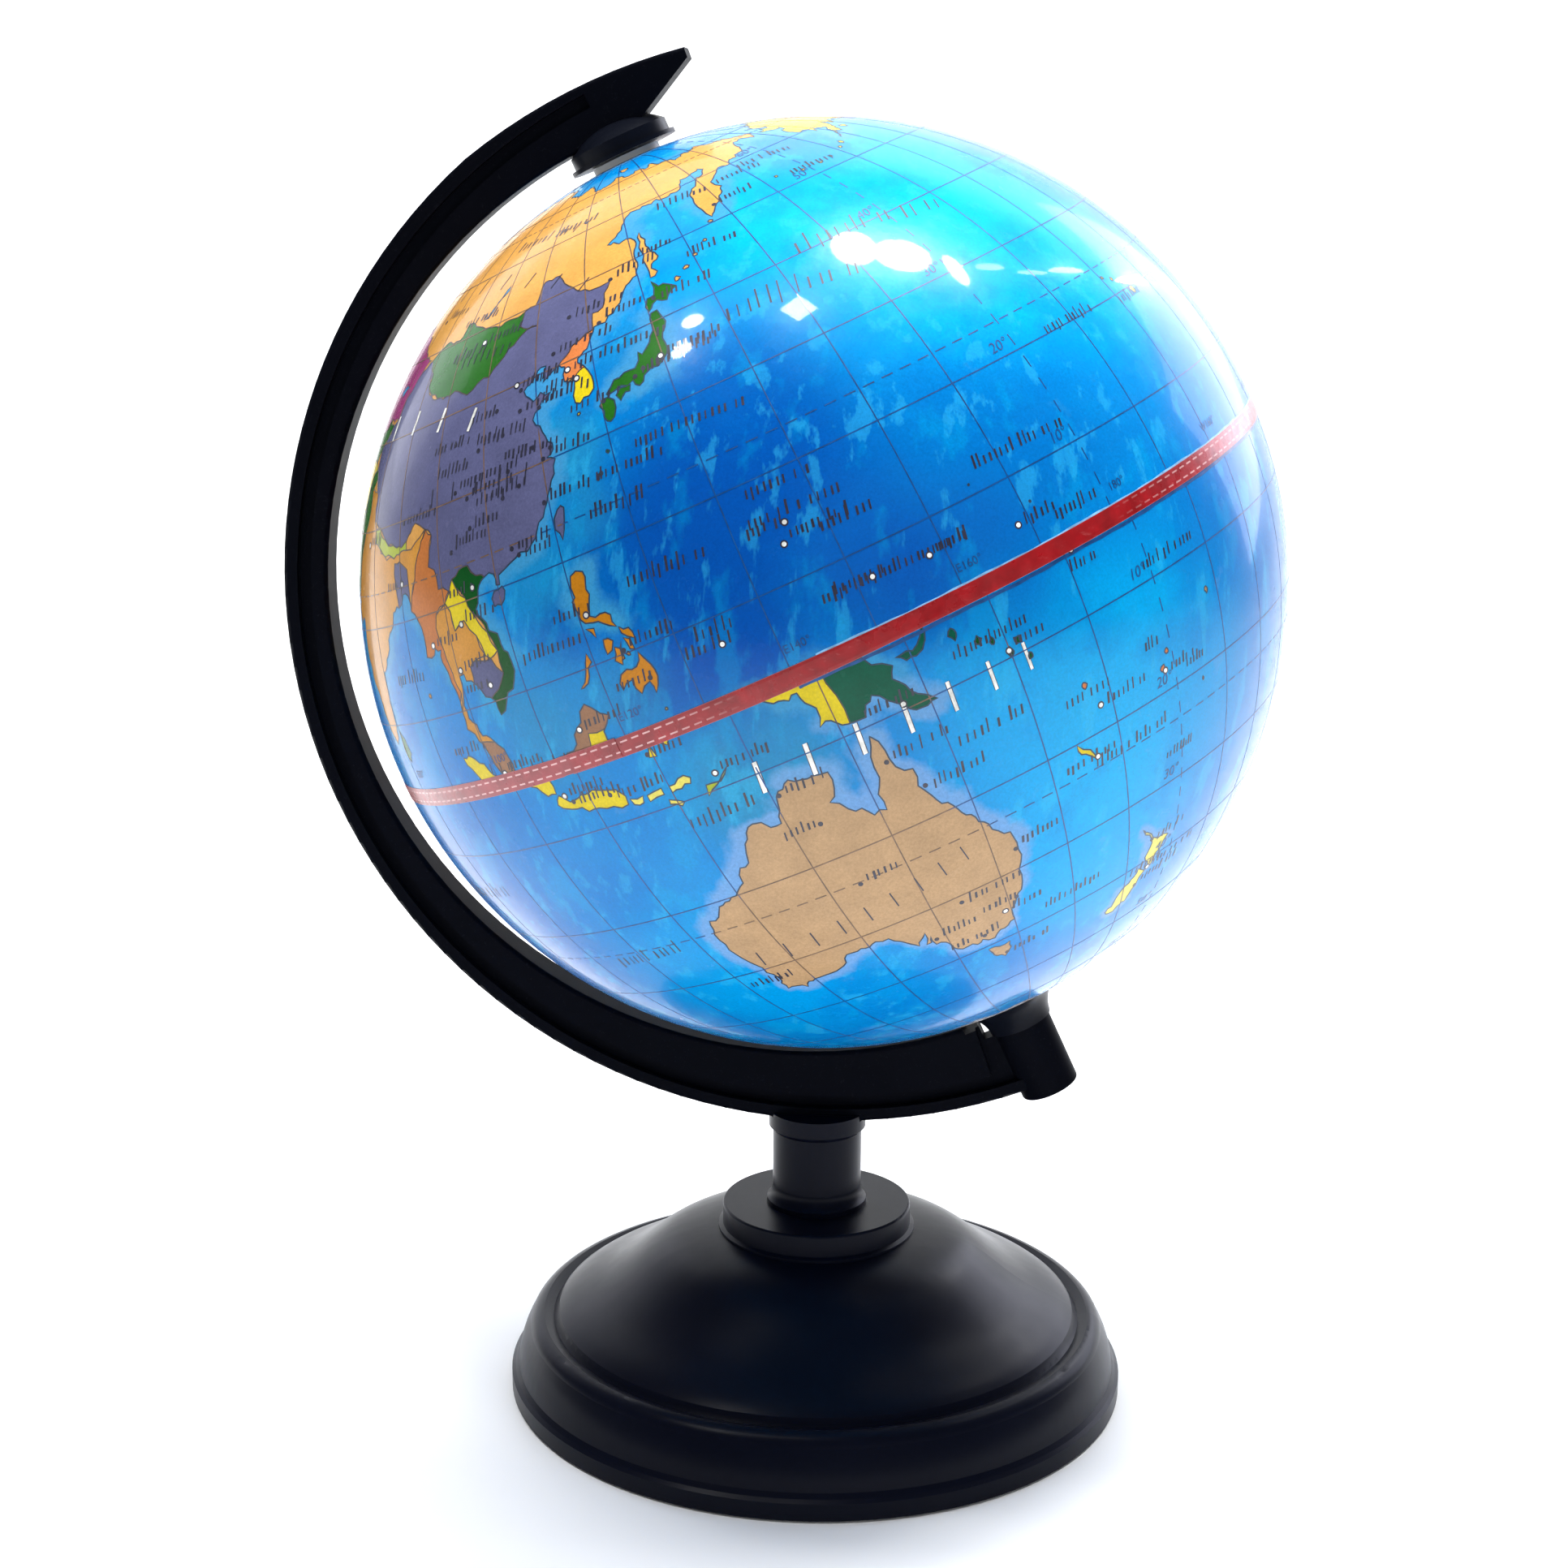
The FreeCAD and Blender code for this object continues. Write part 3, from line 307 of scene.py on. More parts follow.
# countries, each painted over the land named first; an outline may run out over the sea
COUNTRIES = table("""
eurasia yellow 26,72 31.5,70.5 28.5,66 31.5,62.7 27.5,60.2 20,59 10,54.8 5,57 3,62 12,68
eurasia magenta 24,72 31.5,70.5 28.5,66 31.5,62.7 27.5,60.2 21,60 20,63 24.2,65.8
eurasia green 11,59 12.6,64 16,68 20.5,69 24.2,65.8 20,63 20,59 15,54.8 11,56
eurasia lime -2,43.4 7,44 14,45.5 17,48 15,51 14.2,54 20,54.5 23.5,54 24,51 22.5,49 22,48 29,46
30,44.5 28.5,41.5 20,36 10,36 -12,35 -12,44
eurasia magenta -5,49 3,51.3 8,49 7,46 7.5,43.5 3,42.2 -2,43 -3,46
eurasia yellow -2,43.4 3.2,42.3 2,38 -6,35 -7.2,37 -6.8,42 -10,42 -10,44
eurasia salmon 5,54 8.5,55.2 14.2,54.2 15,51 12.5,50 13,47.8 8,47.6 8,49 6,50.5
eurasia pink 14.2,54.2 20,54.5 23.5,54 24,51 22.5,49 19,49.5 15,51
eurasia green 7,44 7,46 13.5,46.6 14,45.5 18,41 19,39.5 16,37 11,41
eurasia yellow 22.5,49 24,51.5 31,52 35,50.5 40,49.5 38,47 35,45.8 33,44 30,45.2 27,48
eurasia lavender 20,44 22,44.5 28.5,44 28.2,41.8 23,41.3 20,42 20,36 25,36 26,41
eurasia green 25.5,40.5 29,41.3 34,42.5 41.5,41.5 44.8,39.7 44.8,37.2 42,37 36.5,35.8 30,35.5
25.5,36
eurasia yellow 34,31 36,33 42,37 44.8,37.2 48,30 44,32 35,29.5 34,27 42,14 46,12 53,15 60,21 57,26.5
51,27 47.8,29
eurasia salmon 35,29.5 39,32 42,31.1 46.5,29.1 49,28 51,25 55,22.7 55,20 48,18 42.8,16.3 36,25
eurasia magenta 44.5,39.7 48,39.5 49,37.6 54,37.3 56,38.1 61.2,36.6 60.6,33 61.5,31 61,29.5 63,27
61.5,24.5 56,25.5 50,28 47.8,31 45.5,34 44.8,37
eurasia green 52,42.5 56,41.3 61,44.5 69,41.5 74,43 80.2,42.5 76,40.5 73.5,39.5 71.5,38 65,37.4
61.2,36.6 56,38.1 53,37.3 52,40
eurasia magenta 47,48 50,51.5 55,51 61,51 61,54 69,55.3 77,53.5 80,51 87,49.2 83,47 82,45.3
80.2,42.5 74,43 69,41.5 61,44.5 56,45 56,41.3 52.5,42.5 51,45
eurasia yellow 61,29.5 60.6,33 61.2,35.6 65,37.4 71.5,38 74.5,37.2 71.5,36.5 69.5,33.5 66,30
eurasia green 61,25 63,27 61,29.5 66,30 69.5,33.5 71.5,36.5 74.5,37.2 76,36 74,34.8 75,32.3 73,30
71,27.8 70,24.5 68,23 61,24
eurasia ochre 68,23 70,24.5 71,27.8 73,30 75,32.3 74,34.8 78.5,34.5 79,31 81,30 83,27.5 88.2,26.5
88.5,27.8 92,26.9 97,28.3 95,26 94,23.8 92.8,22.2 92,20 82,12 79,7 76,7 68,18
eurasia lavender 88.4,24 88.3,26 89.8,26 92,25 92.3,22.5 92.2,20.4 88.9,20.8
eurasia lime 80.2,30 82,30.2 86,28 88.1,27.9 92,27.9 92,26.9 89,26.8 88.1,26.5 84,27.3 80.5,28.6
eurasia green 87.6,49 92,50.7 98,50.5 98.5,52.2 102,51.3 107,50 113,49.6 116.5,49.8 116,47.8
119.8,46.8 116,46.2 112,44 110,42.7 105,41.7 100,42.6 96,43 91,45.2 90.8,47
eurasia lavender 73.5,39.5 76,40.5 80.2,42.5 80.5,45 83,47.1 85.7,48.3 87.6,49 90.8,47 91,45.2 96,43
100,42.6 105,41.7 110,42.7 112,44 116,46.2 119.8,46.8 116,47.8 116.5,49.8 119,50 120.5,53.3 124,53.2
127.5,50 130.8,48.3 135,48.3 133,45 131,44.8 130.7,42.6 128.2,42 126.8,41.7 124.3,40 124,38 124,28
119,22 112,17.5 108.2,21.2 106.7,22 105.5,23.2 102.2,22.5 101.2,21.3 99.2,22 98.8,24 97.5,24.5
98.6,27.5 97,28.3 94.5,29.3 92,27.8 89,27.5 86,28 82,30.2 79,31 78.5,34 76,36 74.5,37.2
eurasia salmon 124.2,40 126.8,41.7 128.2,42 130.7,42.6 131,41 128.6,38.5 126.7,37.8 124.5,37.5
eurasia yellow 126.7,37.8 128.6,38.5 131,37.5 130,34 125.5,33.8 124.5,37.5
eurasia brown 92.2,20.6 92.8,22.2 94,23.8 95,26 97.2,28.2 98.6,27.5 97.5,24.5 98.8,24 99.2,22
101.2,21.5 100.2,20.4 98,19.7 97.5,18.5 98.2,16.2 98.6,14.5 99.4,11.8 98.5,9.8 97,9.5 95,14.5 92,15
eurasia ochre 97.5,18.5 98,19.7 100.2,20.4 101,19.5 101.2,17.6 103.2,18.3 104.8,16.5 105.5,14.4
103,14.2 102.4,12.2 102,9 102.2,6.3 100.5,6.3 99.8,6.5 97.6,7.5 98.5,9.8 99.4,11.8 98.6,14.5
98.2,16.2
eurasia yellow 100.2,20.5 101.3,21.3 102.2,22.5 102.8,21.5 104.2,20.3 104.9,18.8 106.7,16.5
107.6,14.5 106.2,14 105.5,14.4 104.8,16.5 103.2,18.3 101.2,17.6 101,19.5
eurasia dark_green 102.2,22.5 105.5,23.2 106.7,22 108.4,21.4 108.5,19 110,16 110.5,11 105,7.5
104.4,10.4 106,11 107.5,12.3 107.6,14.5 106.7,16.5 104.9,18.8 104.2,20.3 102.8,21.5
eurasia lavender 102.4,13.8 103,14.2 106.2,14 107.5,12.3 106,11 104.4,10.4 103,9.8 102.2,12
eurasia dusk 99.6,6.7 102.3,6.3 106,4 105,0.5 100,2 99,6
borneo dusk 109,2.4 109.6,1 110.5,0.9 112,1.4 114.8,2.3 115.8,4.3 118,4.2 121,5 117,8 108,4
new_guinea sea_green 141,0 141,-10.5 152,-12 153,-5 145,-2
africa yellow -17,28 -8,28 -2,32 -2,36 -8,36
africa salmon -8,27.5 -2,32 -2,36 8.5,38 8,33 10,30 10,26.5 12,23.5 4,19 -5,25
africa green 10,30 10,34 8.5,38 14,34 20,30 25,32 25,20 15,23 12,23.5 10,26.5
africa yellow 25,32 35,33 37,22 25,22
africa magenta 25,22 37,22 38,18 36,13 34,8 27,6 24,9 22,13 25,20
africa lavender 15,23 25,20 22,13 24,9 16,7.5 15,12 13,14 15.5,20
africa lime 4,19 12,23.5 15,23 15.5,20 13,14 4,12 0,15
africa pink -5,25 4,19 4,15 0,15 -4,11 -12,12 -12,15 -17,16 -17,21.5 -13,23 -13,27.5 -8,27.5
africa green 3,12 13,13.5 14.5,10 9,4 4,3 2.7,6
africa salmon 34,8 36,13 38,18 43,12 48,8 45,5 41,4 36,4.5
africa dark_green 48,8 45,5 41,4 41,-2 46,-1 54,12 43.5,13
africa tan 34,4.5 36,4.5 41,4 42,-2 39,-5 34,-1
africa magenta 34,-1 39,-5 42,-11 34.5,-11.5 31,-8.5 29.5,-4 30.5,-1
africa yellow 18,4.5 25,5 30.5,3.5 29.5,-4 31,-8.5 28,-12.5 22,-11 20,-7 12,-6 17,-1
africa orange 10,-5.5 12.5,-6 20,-7 22,-11 24,-13 22,-17.5 10,-17.3
africa green 22,-11 28,-12.5 31,-8.5 34,-10 32.5,-14 27,-18 22,-17.5
africa salmon 34.5,-11.5 42,-10 42,-18 33,-27 31.5,-24 33,-16 30.5,-15.5 32.5,-14
africa lavender 10,-17.3 24,-18 21,-22 20,-28.5 14,-29
africa pink 24,-18 27,-18 29.3,-22 25.5,-25.7 20.5,-26.8 21,-22
africa lime 14,-29 20,-28.5 20.5,-26.8 25.5,-25.7 29.3,-22 31.5,-24 34,-27 28,-36 17,-36
north_america yellow -141,72 -141,60.3 -130,55 -135,52 -180,50 -180,72
north_america yellow -128,49 -95,49 -88,48.2 -83,46 -82.5,42 -79,43 -75,45 -71,45.3 -67,47 -65,44
-70,38 -79,23 -85,28 -95,27 -97.5,26 -101,29.5 -104,29.3 -106.5,31.7 -111,31.3 -117,32.5 -130,33
north_america salmon -119,32.6 -111,31.3 -106.5,31.7 -104,29.3 -101,29.5 -97.3,26 -95,25 -94,22
-86,22.5 -87.8,18.3 -91,17.8 -92.2,14.5 -98,13 -120,22
north_america green -92.2,14.4 -91,17.8 -87.8,18.3 -86,16.5 -83,15 -83.3,11 -85.8,9 -92,12.5
south_america yellow -79,9.5 -76,13 -71.5,12.5 -72.5,8 -67.5,6 -67,1 -70,-4 -75,-1.5 -79,1.5 -80,5
south_america ochre -72,13 -60,12 -60,5 -67,1 -67.5,6 -72.5,8
south_america lavender -60,10 -50,6 -52,2 -60,1.5 -60.5,5
south_america orange -82,1.5 -79,1.5 -75,-1.5 -70,-4 -73.5,-7.5 -70.5,-10 -69,-13 -69.5,-18 -71,-19
-84,-8
south_america magenta -69,-11 -65.5,-10 -60.3,-14 -58,-18 -62.5,-22.2 -67.5,-22.7 -69.5,-17.5
south_america pink -62.5,-22.2 -58,-20 -54.3,-24.5 -58.5,-27
south_america lavender -67.5,-22.7 -62.5,-22.2 -58.5,-27 -54,-25.5 -57.7,-30 -58.3,-34 -55,-40
-62,-56 -68.5,-55 -72,-50 -71.5,-40 -70,-33 -68.5,-27
south_america salmon -57.7,-30 -53.3,-33.5 -54,-36 -58.6,-34.5
south_america ochre -71,-18.5 -68.5,-18 -67.5,-22.7 -68.5,-27 -70,-33 -71.5,-40 -72,-50 -68.5,-55
-78,-56 -78,-40 -73,-25
eurasia water 47,45 51.5,46.8 53,45 51,44.5 50.5,42.5 53.5,41.5 53,37.3 50,37 49,38.5 49.5,40.5
47.5,43
eurasia water 103.8,51.5 105.5,51.7 109.5,55 109.5,55.8 107,53.5
eurasia water 74.5,46.3 79,46.6 76,45.6
africa water 32,0.3 34,0 33.5,-2.5 31.8,-2
north_america water -92,46.8 -88,48.8 -84.5,46.7
north_america water -88,42 -86.5,45.8 -80.5,45.5 -82,43.3 -83.8,44.5 -85,45.5 -86.3,43
north_america water -83,41.7 -79,42.9 -76.5,43.6 -79.5,43.5
""")

CAPITALS = numbers("""
116.4,39.9 127,37.5 125.7,39 139.7,35.7 121,14.6 105.8,21 102.6,18 100.5,13.8 104.9,11.6 96.2,16.9
101.7,3.1 106.8,-6.2 125.6,-8.6 147.2,-9.5 149.1,-35.3 134.5,7.4 144.8,13.4 145.8,15.2 151.8,7.4
158.2,6.9 166.5,-0.5 173,1.4 159.9,-9.4 168.3,-17.7 178.4,-18.1 166.4,-22.3 106.9,47.9 90.4,23.7
114.9,4.9 174.8,-41.3 77.2,28.6 37.6,55.8 2.3,48.9 -0.1,51.5 -77,38.9 -99.1,19.4 -47.9,-15.8 31.2,30
28.2,-25.7 -58.4,-34.6 36.8,-1.3 13.4,52.5 -75.7,45.4
""")
TOWNS = numbers("""
117.2,39.1 112.5,37.9 117,36.7 120.4,36.1 113.7,34.8 108.9,34.3 103.8,36.1 118.8,32 121.5,31.2
120.2,30.3 114.3,30.6 113,28.2 115.9,28.7 104.1,30.7 106.5,29.6 106.7,26.6 102.7,25 113.3,23.1
119.3,26.1 114.2,22.3 91.1,29.7 141.4,43 135.5,34.7 130.4,33.6 136.9,35.2 139.6,35.4 131.9,43.1
135.1,48.5 123.4,41.8 126.6,45.8 123.9,10.3 125.6,7.1 112.7,-7.3 119.4,-5.1 107.6,-6.9 130.8,-12.5
133.9,-23.7 133.4,-16.3 143,-13.5 145.8,-16.9 153,-27.5 151.2,-33.9 145,-37.8 138.6,-34.9 115.9,-32
144,-31 147.3,-42.9 172.6,-43.5 174.8,-36.9 129.7,62 104.3,52.3 82.9,55 158.6,53
""")

# rows of ticks out at sea and across the large countries: longitude,latitude,count,height in mm
SEA_ROWS = numbers("""
134,38.5,8,1.6 111,12.5,12,1.7 143,18.5,9,1.8 142,15.8,12,1.8 149,13,8,1.8 146,7,26,1.6
132,8.5,6,1.8 167,12,16,1.7 173,4.5,9,1.7 154,-8,15,1.6 170,-6,6,1.5 179,-9,12,1.6 151,-15,9,1.9
164,-16.5,8,1.7 176,-15.5,4,1.6 -178,-19,6,1.4 166,-23.3,14,1.6 177,-27,9,1.3 155,-38,12,1.6
171,-41,7,1.5 120,-12.5,10,2 85,14,10,1.8 94,6,9,1.4 148,57,9,1.7 149,46.5,9,1.6 141,50,8,1.4
163,57,9,1.4 133,27.5,17,1.7 127,26,12,1.6 125,22.8,10,1.8 127,15.5,12,1.9 170,58,10,1.6
176,52,10,1.6 -175,20,12,1.7 -160,19,9,1.5 100,33,9,1.6 98,47,8,1.9 104,63,11,2 95,-25,11,2.4
150,36,12,3 164,40,14,3 -30,40,14,2.6 -28,-20,13,2.6 70,-15,12,2.6 -130,-30,13,2.6 -100,40,12,2.4
-55,-10,8,2.4 20,10,9,2.2 -105,56,9,2.2
""")

# widely spaced marks: longitude, latitude, count, height, step and slope, in mm; then whether pale
WIDE_ROWS = [(115.8, -29.4, 9, 4.2, 6.4, 0.0, False), (98.5, 30.2, 5, 3.6, 7.0, 0.0, False),
             (84, 58, 6, 4.0, 9.5, 0.0, False), (101.5, 45.6, 8, 2.2, 2.0, 0.0, False),
             (99.5, 3.4, 8, 2.0, 3.0, -0.1, False), (106.5, -4.6, 9, 3.0, 5.4, 0.0, False),
             (129.4, -11.8, 7, 6.4, 10.2, -0.05, True), (80, 40, 4, 5.2, 12.0, 0.0, True),
             (-110, 45, 9, 4.0, 7.0, 0.0, False), (-62, -12, 6, 3.8, 7.0, 0.0, False),
             (8, 12, 6, 6.0, 11.0, 0.0, True)]

# broad tints of the sea: longitude,latitude,reach in degrees,strength
DEEPS = numbers("""
133,17,13,1 147,15,12,0.75 133,5,9,1 151,5,8,0.8 143,25,12,0.75 122.5,3,4,0.9 115,14,4,0.7
128,-6,3,0.3 160,2,9,0.55 170,12,14,0.45 152,33,12,0.35 93,-2,8,0.25 -150,-10,22,0.3 -120,20,20,0.4
-45,25,18,0.6 -25,-20,20,0.5 75,-20,18,0.5 -20,10,14,0.5
""")
BRIGHTS = numbers("""
175,45,22,0.95 -170,30,18,0.7 165,-15,16,0.6 165,-35,14,0.6 115,-32,16,0.3 180,-20,15,0.5
""")
PALES = numbers("""
130,-9,9,0.95 120,5,5,0.5 112,8,6,0.25 108,3,6,0.6 114,20,5,0.5 122,33,5,0.7 135,40,5,0.45
148,55,6,0.6 185,60,9,0.9 122,25,4,0.5 104,10,4,0.5
""")
AZURE = (0.0, 0.205, 0.56)
SEA_TINTS = (((0.0, 0.43, 0.84), BRIGHTS), ((0.0, 0.072, 0.37), DEEPS),
             ((0.015, 0.235, 0.45), PALES))
HALO_NORTH, HALO_SOUTH, HALO_WARM = (0.05, 0.27, 0.52), (0.16, 0.33, 0.62), (0.03, 0.30, 0.54)

# ---- the ball's mesh, cut along the outlines -------------------------------------------------
GRID_STEP = 1.3             # spacing of the plain mesh, degrees
RIM_COUNT = 540
FIRST_LAND = 200            # region numbers: countries first, then lands, then the south half again
SOUTH_HALF = 1000
SMALL_LAND = 34             # lands of fewer triangles have no pale shelf
SAME_PLACE = 1e-6           # metres
SAME_SPOT = 1e-5            # degrees
POLE_TO_EQUATOR = 90.0
COAST_STEP, COAST_WOBBLE = 1.1, 0.2
BORDER_STEP, BORDER_WOBBLE = 1.4, 0.13
rng = random.Random(7)


def roughen(outline, longest, wobble):
    """Breaks a closed outline into short stretches with a little seeded wobble."""
    out = []
    for i, a in enumerate(outline):
        b = outline[(i + 1) % len(outline)]
        run = [a, b]
        while math.dist(run[0], run[1]) > longest:
            finer = [run[0]]
            for p, q in zip(run, run[1:]):
                d = math.dist(p, q)
                push = rng.uniform(-wobble, wobble) * d
                finer.append(((p[0] + q[0]) / 2 - (q[1] - p[1]) / d * push,
                              (p[1] + q[1]) / 2 + (q[0] - p[0]) / d * push))
                finer.append(q)
            run = finer
        out += run[:-1]
    return out


def islet(lon, lat, size):
    """A small eight-cornered island."""
    turns = [k * math.pi / 4 for k in range(8)]
    squash = max(math.cos(math.radians(lat)), 0.3)
    reach = [size / 2 * rng.uniform(0.55, 1.15) for _ in turns]
    return [(lon + r * math.cos(t) / squash, lat + r * math.sin(t)) for t, r in zip(turns, reach)]


colours = list(PAINT)
lands = [(name, colours.index(c), roughen(outline, COAST_STEP, COAST_WOBBLE))
         for (name, c), outline in LANDS]
islets = [(c, spot) for (c,), spots in ISLETS for spot in spots]
lands += [("islet%d" % i, colours.index(c), islet(*spot)) for i, (c, spot) in enumerate(islets)]
countries = [(land, colours.index(c), roughen(outline, BORDER_STEP, BORDER_WOBBLE))
             for (land, c), outline in COUNTRIES]


def spans(outline, north):
    """Whether an outline reaches this half of the ball."""
    lats = [p[1] for p in outline]
    return max(lats) > 0 if north else min(lats) < 0


def inside(px, py, outline):
    """Even-odd test of many points against one outline."""
    ox, oy = outline
    hit = np.zeros(len(px), bool)
    box = (px >= ox.min()) & (px <= ox.max()) & (py >= oy.min()) & (py <= oy.max())
    if not box.any():
        return hit
    x, y = px[box][:, None], py[box][:, None]
    x2, y2 = np.roll(ox, -1)[None], np.roll(oy, -1)[None]
    crosses = (oy[None] > y) != (y2 > y)
    with np.errstate(divide="ignore", invalid="ignore"):
        at = (x2 - ox[None]) * (y - oy[None]) / (y2 - oy[None]) + ox[None]
    hit[box] = (crosses & (x < at)).sum(1) % 2 == 1
    return hit


def drop_unused(v, f):
    """Leaves out the points that no face uses."""
    used = np.unique(f)
    place = np.full(len(v), -1)
    place[used] = np.arange(len(used))
    return v[used], place[f]


def search_tree(spots):
    tree = KDTree(len(spots))
    for i, p in enumerate(spots):
        tree.insert(p, i)
    tree.balance()
    return tree


def half_mesh(north):
    """Triangles of one half: places on the ball, faces, and each face's colour and region."""
    spots, links = [], []

    def add_loop(x, y):
        first = len(spots)
        spots.extend(zip(x.tolist(), y.tolist()))
        links.extend((first + i, first + (i + 1) % len(x)) for i in range(len(x)))

    def add_shapes(group):
        shapes = []
        for i, (name, colour, outline) in enumerate(group):
            if spans(outline, north):
                flat = disc(*np.array(outline).T, north)
                shapes.append((i, name, colour, flat))
                add_loop(*flat)
        return shapes

    rim = np.radians(np.arange(RIM_COUNT) * 360.0 / RIM_COUNT)
    add_loop(POLE_TO_EQUATOR * np.cos(rim), POLE_TO_EQUATOR * np.sin(rim))
    land_shapes = add_shapes(lands)
    country_shapes = add_shapes(countries)
    rings = int(POLE_TO_EQUATOR / GRID_STEP)
    for i in range(rings):
        reach = (i + 0.5) * POLE_TO_EQUATOR / rings
        count = max(6, int(360 * math.sin(math.radians(reach)) / GRID_STEP))
        turn = (np.arange(count) + 0.5 * (i % 2)) * 2 * math.pi / count
        spots.extend(zip((reach * np.cos(turn)).tolist(), (reach * np.sin(turn)).tolist()))
    verts, _, faces, *_ = delaunay_2d_cdt([Vector(s) for s in spots], links, [], 0, SAME_SPOT)
    v = np.array([tuple(p) for p in verts])
    f = np.array(faces)
    mid = v[f].mean(1)
    edge = POLE_TO_EQUATOR * math.cos(math.pi / RIM_COUNT) + 10 * SAME_SPOT
    keep = np.hypot(*mid.T) < edge
    f, mid = f[keep], mid[keep]
    land = np.full(len(f), -1)
    colour = np.full(len(f), -1)
    owner = {}
    for i, name, c, flat in land_shapes:
        owner[name] = i
        hit = inside(mid[:, 0], mid[:, 1], flat)
        land[hit], colour[hit] = i, c
    region = np.where(land >= 0, land + FIRST_LAND, -1)
    for i, name, c, flat in country_shapes:
        if name in owner:
            hit = inside(mid[:, 0], mid[:, 1], flat) & (land == owner[name])
            region[hit], colour[hit] = i, c
    wet = colour == colours.index("water")
    colour[wet], region[wet] = -1, -1
    v, f = drop_unused(v, f)
    return from_disc(v[:, 0], v[:, 1], north, BALL_R), f, colour, region


def merged_ball():
    """Both halves in one closed skin, with the vertices of the equator shared."""
    top, top_f, top_c, top_r = half_mesh(True)
    low_v, low_f, low_c, low_r = half_mesh(False)
    v = np.vstack([top, low_v])
    f = np.vstack([top_f, low_f[:, ::-1] + len(top)])
    tree = search_tree(top)
    shift = np.arange(len(v))
    level = np.abs((v - np.array(CENTRE)) @ np.array(AXIS)) < SAME_PLACE
    for i in np.nonzero(level)[0]:
        if i >= len(top):
            _, j, d = tree.find(v[i])
            if d < SAME_PLACE:
                shift[i] = j
    v, f = drop_unused(v, shift[f])
    a, b, c = v[f[:, 0]], v[f[:, 1]], v[f[:, 2]]
    out = np.einsum("ij,ij->i", np.cross(b - a, c - a), (a + b + c) / 3 - np.array(CENTRE))
    f[out < 0] = f[out < 0][:, ::-1]
    region = np.concatenate([top_r, np.where(low_r >= 0, low_r + SOUTH_HALF, -1)])
    return v, f, np.concatenate([top_c, low_c]), region


def print_edges():
    """Edges where the print changes: every coast, every border, and the coasts with a shelf."""
    pairs = {}
    for t, (a, b, c) in enumerate(ball_f.tolist()):
        for e in ((a, b), (b, c), (c, a)):
            pairs.setdefault((min(e), max(e)), []).append(t)
    size = np.bincount(ball_region[ball_region >= 0])
    coast, border, shelf = [], [], []
    for e, faces in pairs.items():
        p, q = ball_region[faces[0]], ball_region[faces[-1]]
        if p == q or abs(p - q) == SOUTH_HALF:
            continue
        if p >= 0 and q >= 0:
            border.append(e)
            continue
        coast.append(e)
        if size[max(p, q)] > SMALL_LAND:
            shelf.append(e)
    return coast, border, shelf


ball_v, ball_f, ball_colour, ball_region = merged_ball()
coast_edges, border_edges, shelf_edges = print_edges()
bvh = BVHTree.FromPolygons([tuple(p) for p in ball_v], ball_f.tolist())


# ---- node helpers ----------------------------------------------------------------------------
def new_material(name, base, roughness, **sockets):
    m = bpy.data.materials.new(name)
    m.use_nodes = True
    m.diffuse_color = (*base, 1)
    s = m.node_tree.nodes["Principled BSDF"]
    s.inputs["Base Color"].default_value = (*base, 1)
    s.inputs["Roughness"].default_value = roughness
    for key, value in sockets.items():
        s.inputs[key.replace("_", " ")].default_value = value
    return m, m.node_tree, s


def add(tree, kind, **settings):
    n = tree.nodes.new(kind)
    for key, value in settings.items():
        setattr(n, key, value)
    return n


def feed(tree, socket, value):
    """Gives a socket a link, a colour or a number."""
    if isinstance(value, bpy.types.NodeSocket):
        tree.links.new(value, socket)
    elif isinstance(value, tuple):
        socket.default_value = (*value, 1)
    elif value is not None:
        socket.default_value = value


def maths(tree, operation, a, b=None, clamp=False):
    n = add(tree, "ShaderNodeMath", operation=operation, use_clamp=clamp)
    feed(tree, n.inputs[0], a)
    feed(tree, n.inputs[1], b)
    return n.outputs[0]


def blend(tree, factor, a, b, mode="MIX"):
    n = add(tree, "ShaderNodeMix", data_type="RGBA", blend_type=mode)
    for socket, value in ((n.inputs[0], factor), (n.inputs[6], a), (n.inputs[7], b)):
        feed(tree, socket, value)
    return n.outputs[2]


def noise(tree, scale, detail=4.0, roughness=0.6, offset=None, stretch=None):
    """Noise on object coordinates; scale in cycles per metre."""
    source = add(tree, "ShaderNodeTexCoord").outputs["Object"]
    if offset or stretch:
        mapping = add(tree, "ShaderNodeMapping")
        mapping.inputs["Location"].default_value = offset or (0, 0, 0)
        mapping.inputs["Scale"].default_value = stretch or (1, 1, 1)
        tree.links.new(source, mapping.inputs["Vector"])
        source = mapping.outputs["Vector"]
    n = add(tree, "ShaderNodeTexNoise")
    for key, value in (("Scale", scale), ("Detail", detail), ("Roughness", roughness)):
        n.inputs[key].default_value = value
    tree.links.new(source, n.inputs["Vector"])
    return n.outputs["Fac"]


def remap(tree, value, low, high, to_low, to_high):
    n = add(tree, "ShaderNodeMapRange")
    for key, number in (("Value", value), ("From Min", low), ("From Max", high),
                        ("To Min", to_low), ("To Max", to_high)):
        feed(tree, n.inputs[key], number)
    return n.outputs["Result"]


def clouded(tree, colour, scale, darkest, lightest, detail=4.0, roughness=0.5, low=0.3, high=0.7):
    """A colour times soft clouds of noise."""
    factor = remap(tree, noise(tree, scale, detail, roughness), low, high, darkest, lightest)
    return blend(tree, 1.0, colour, factor, "MULTIPLY")


def attribute(tree, name, output="Fac"):
    return add(tree, "ShaderNodeAttribute", attribute_name=name).outputs[output]


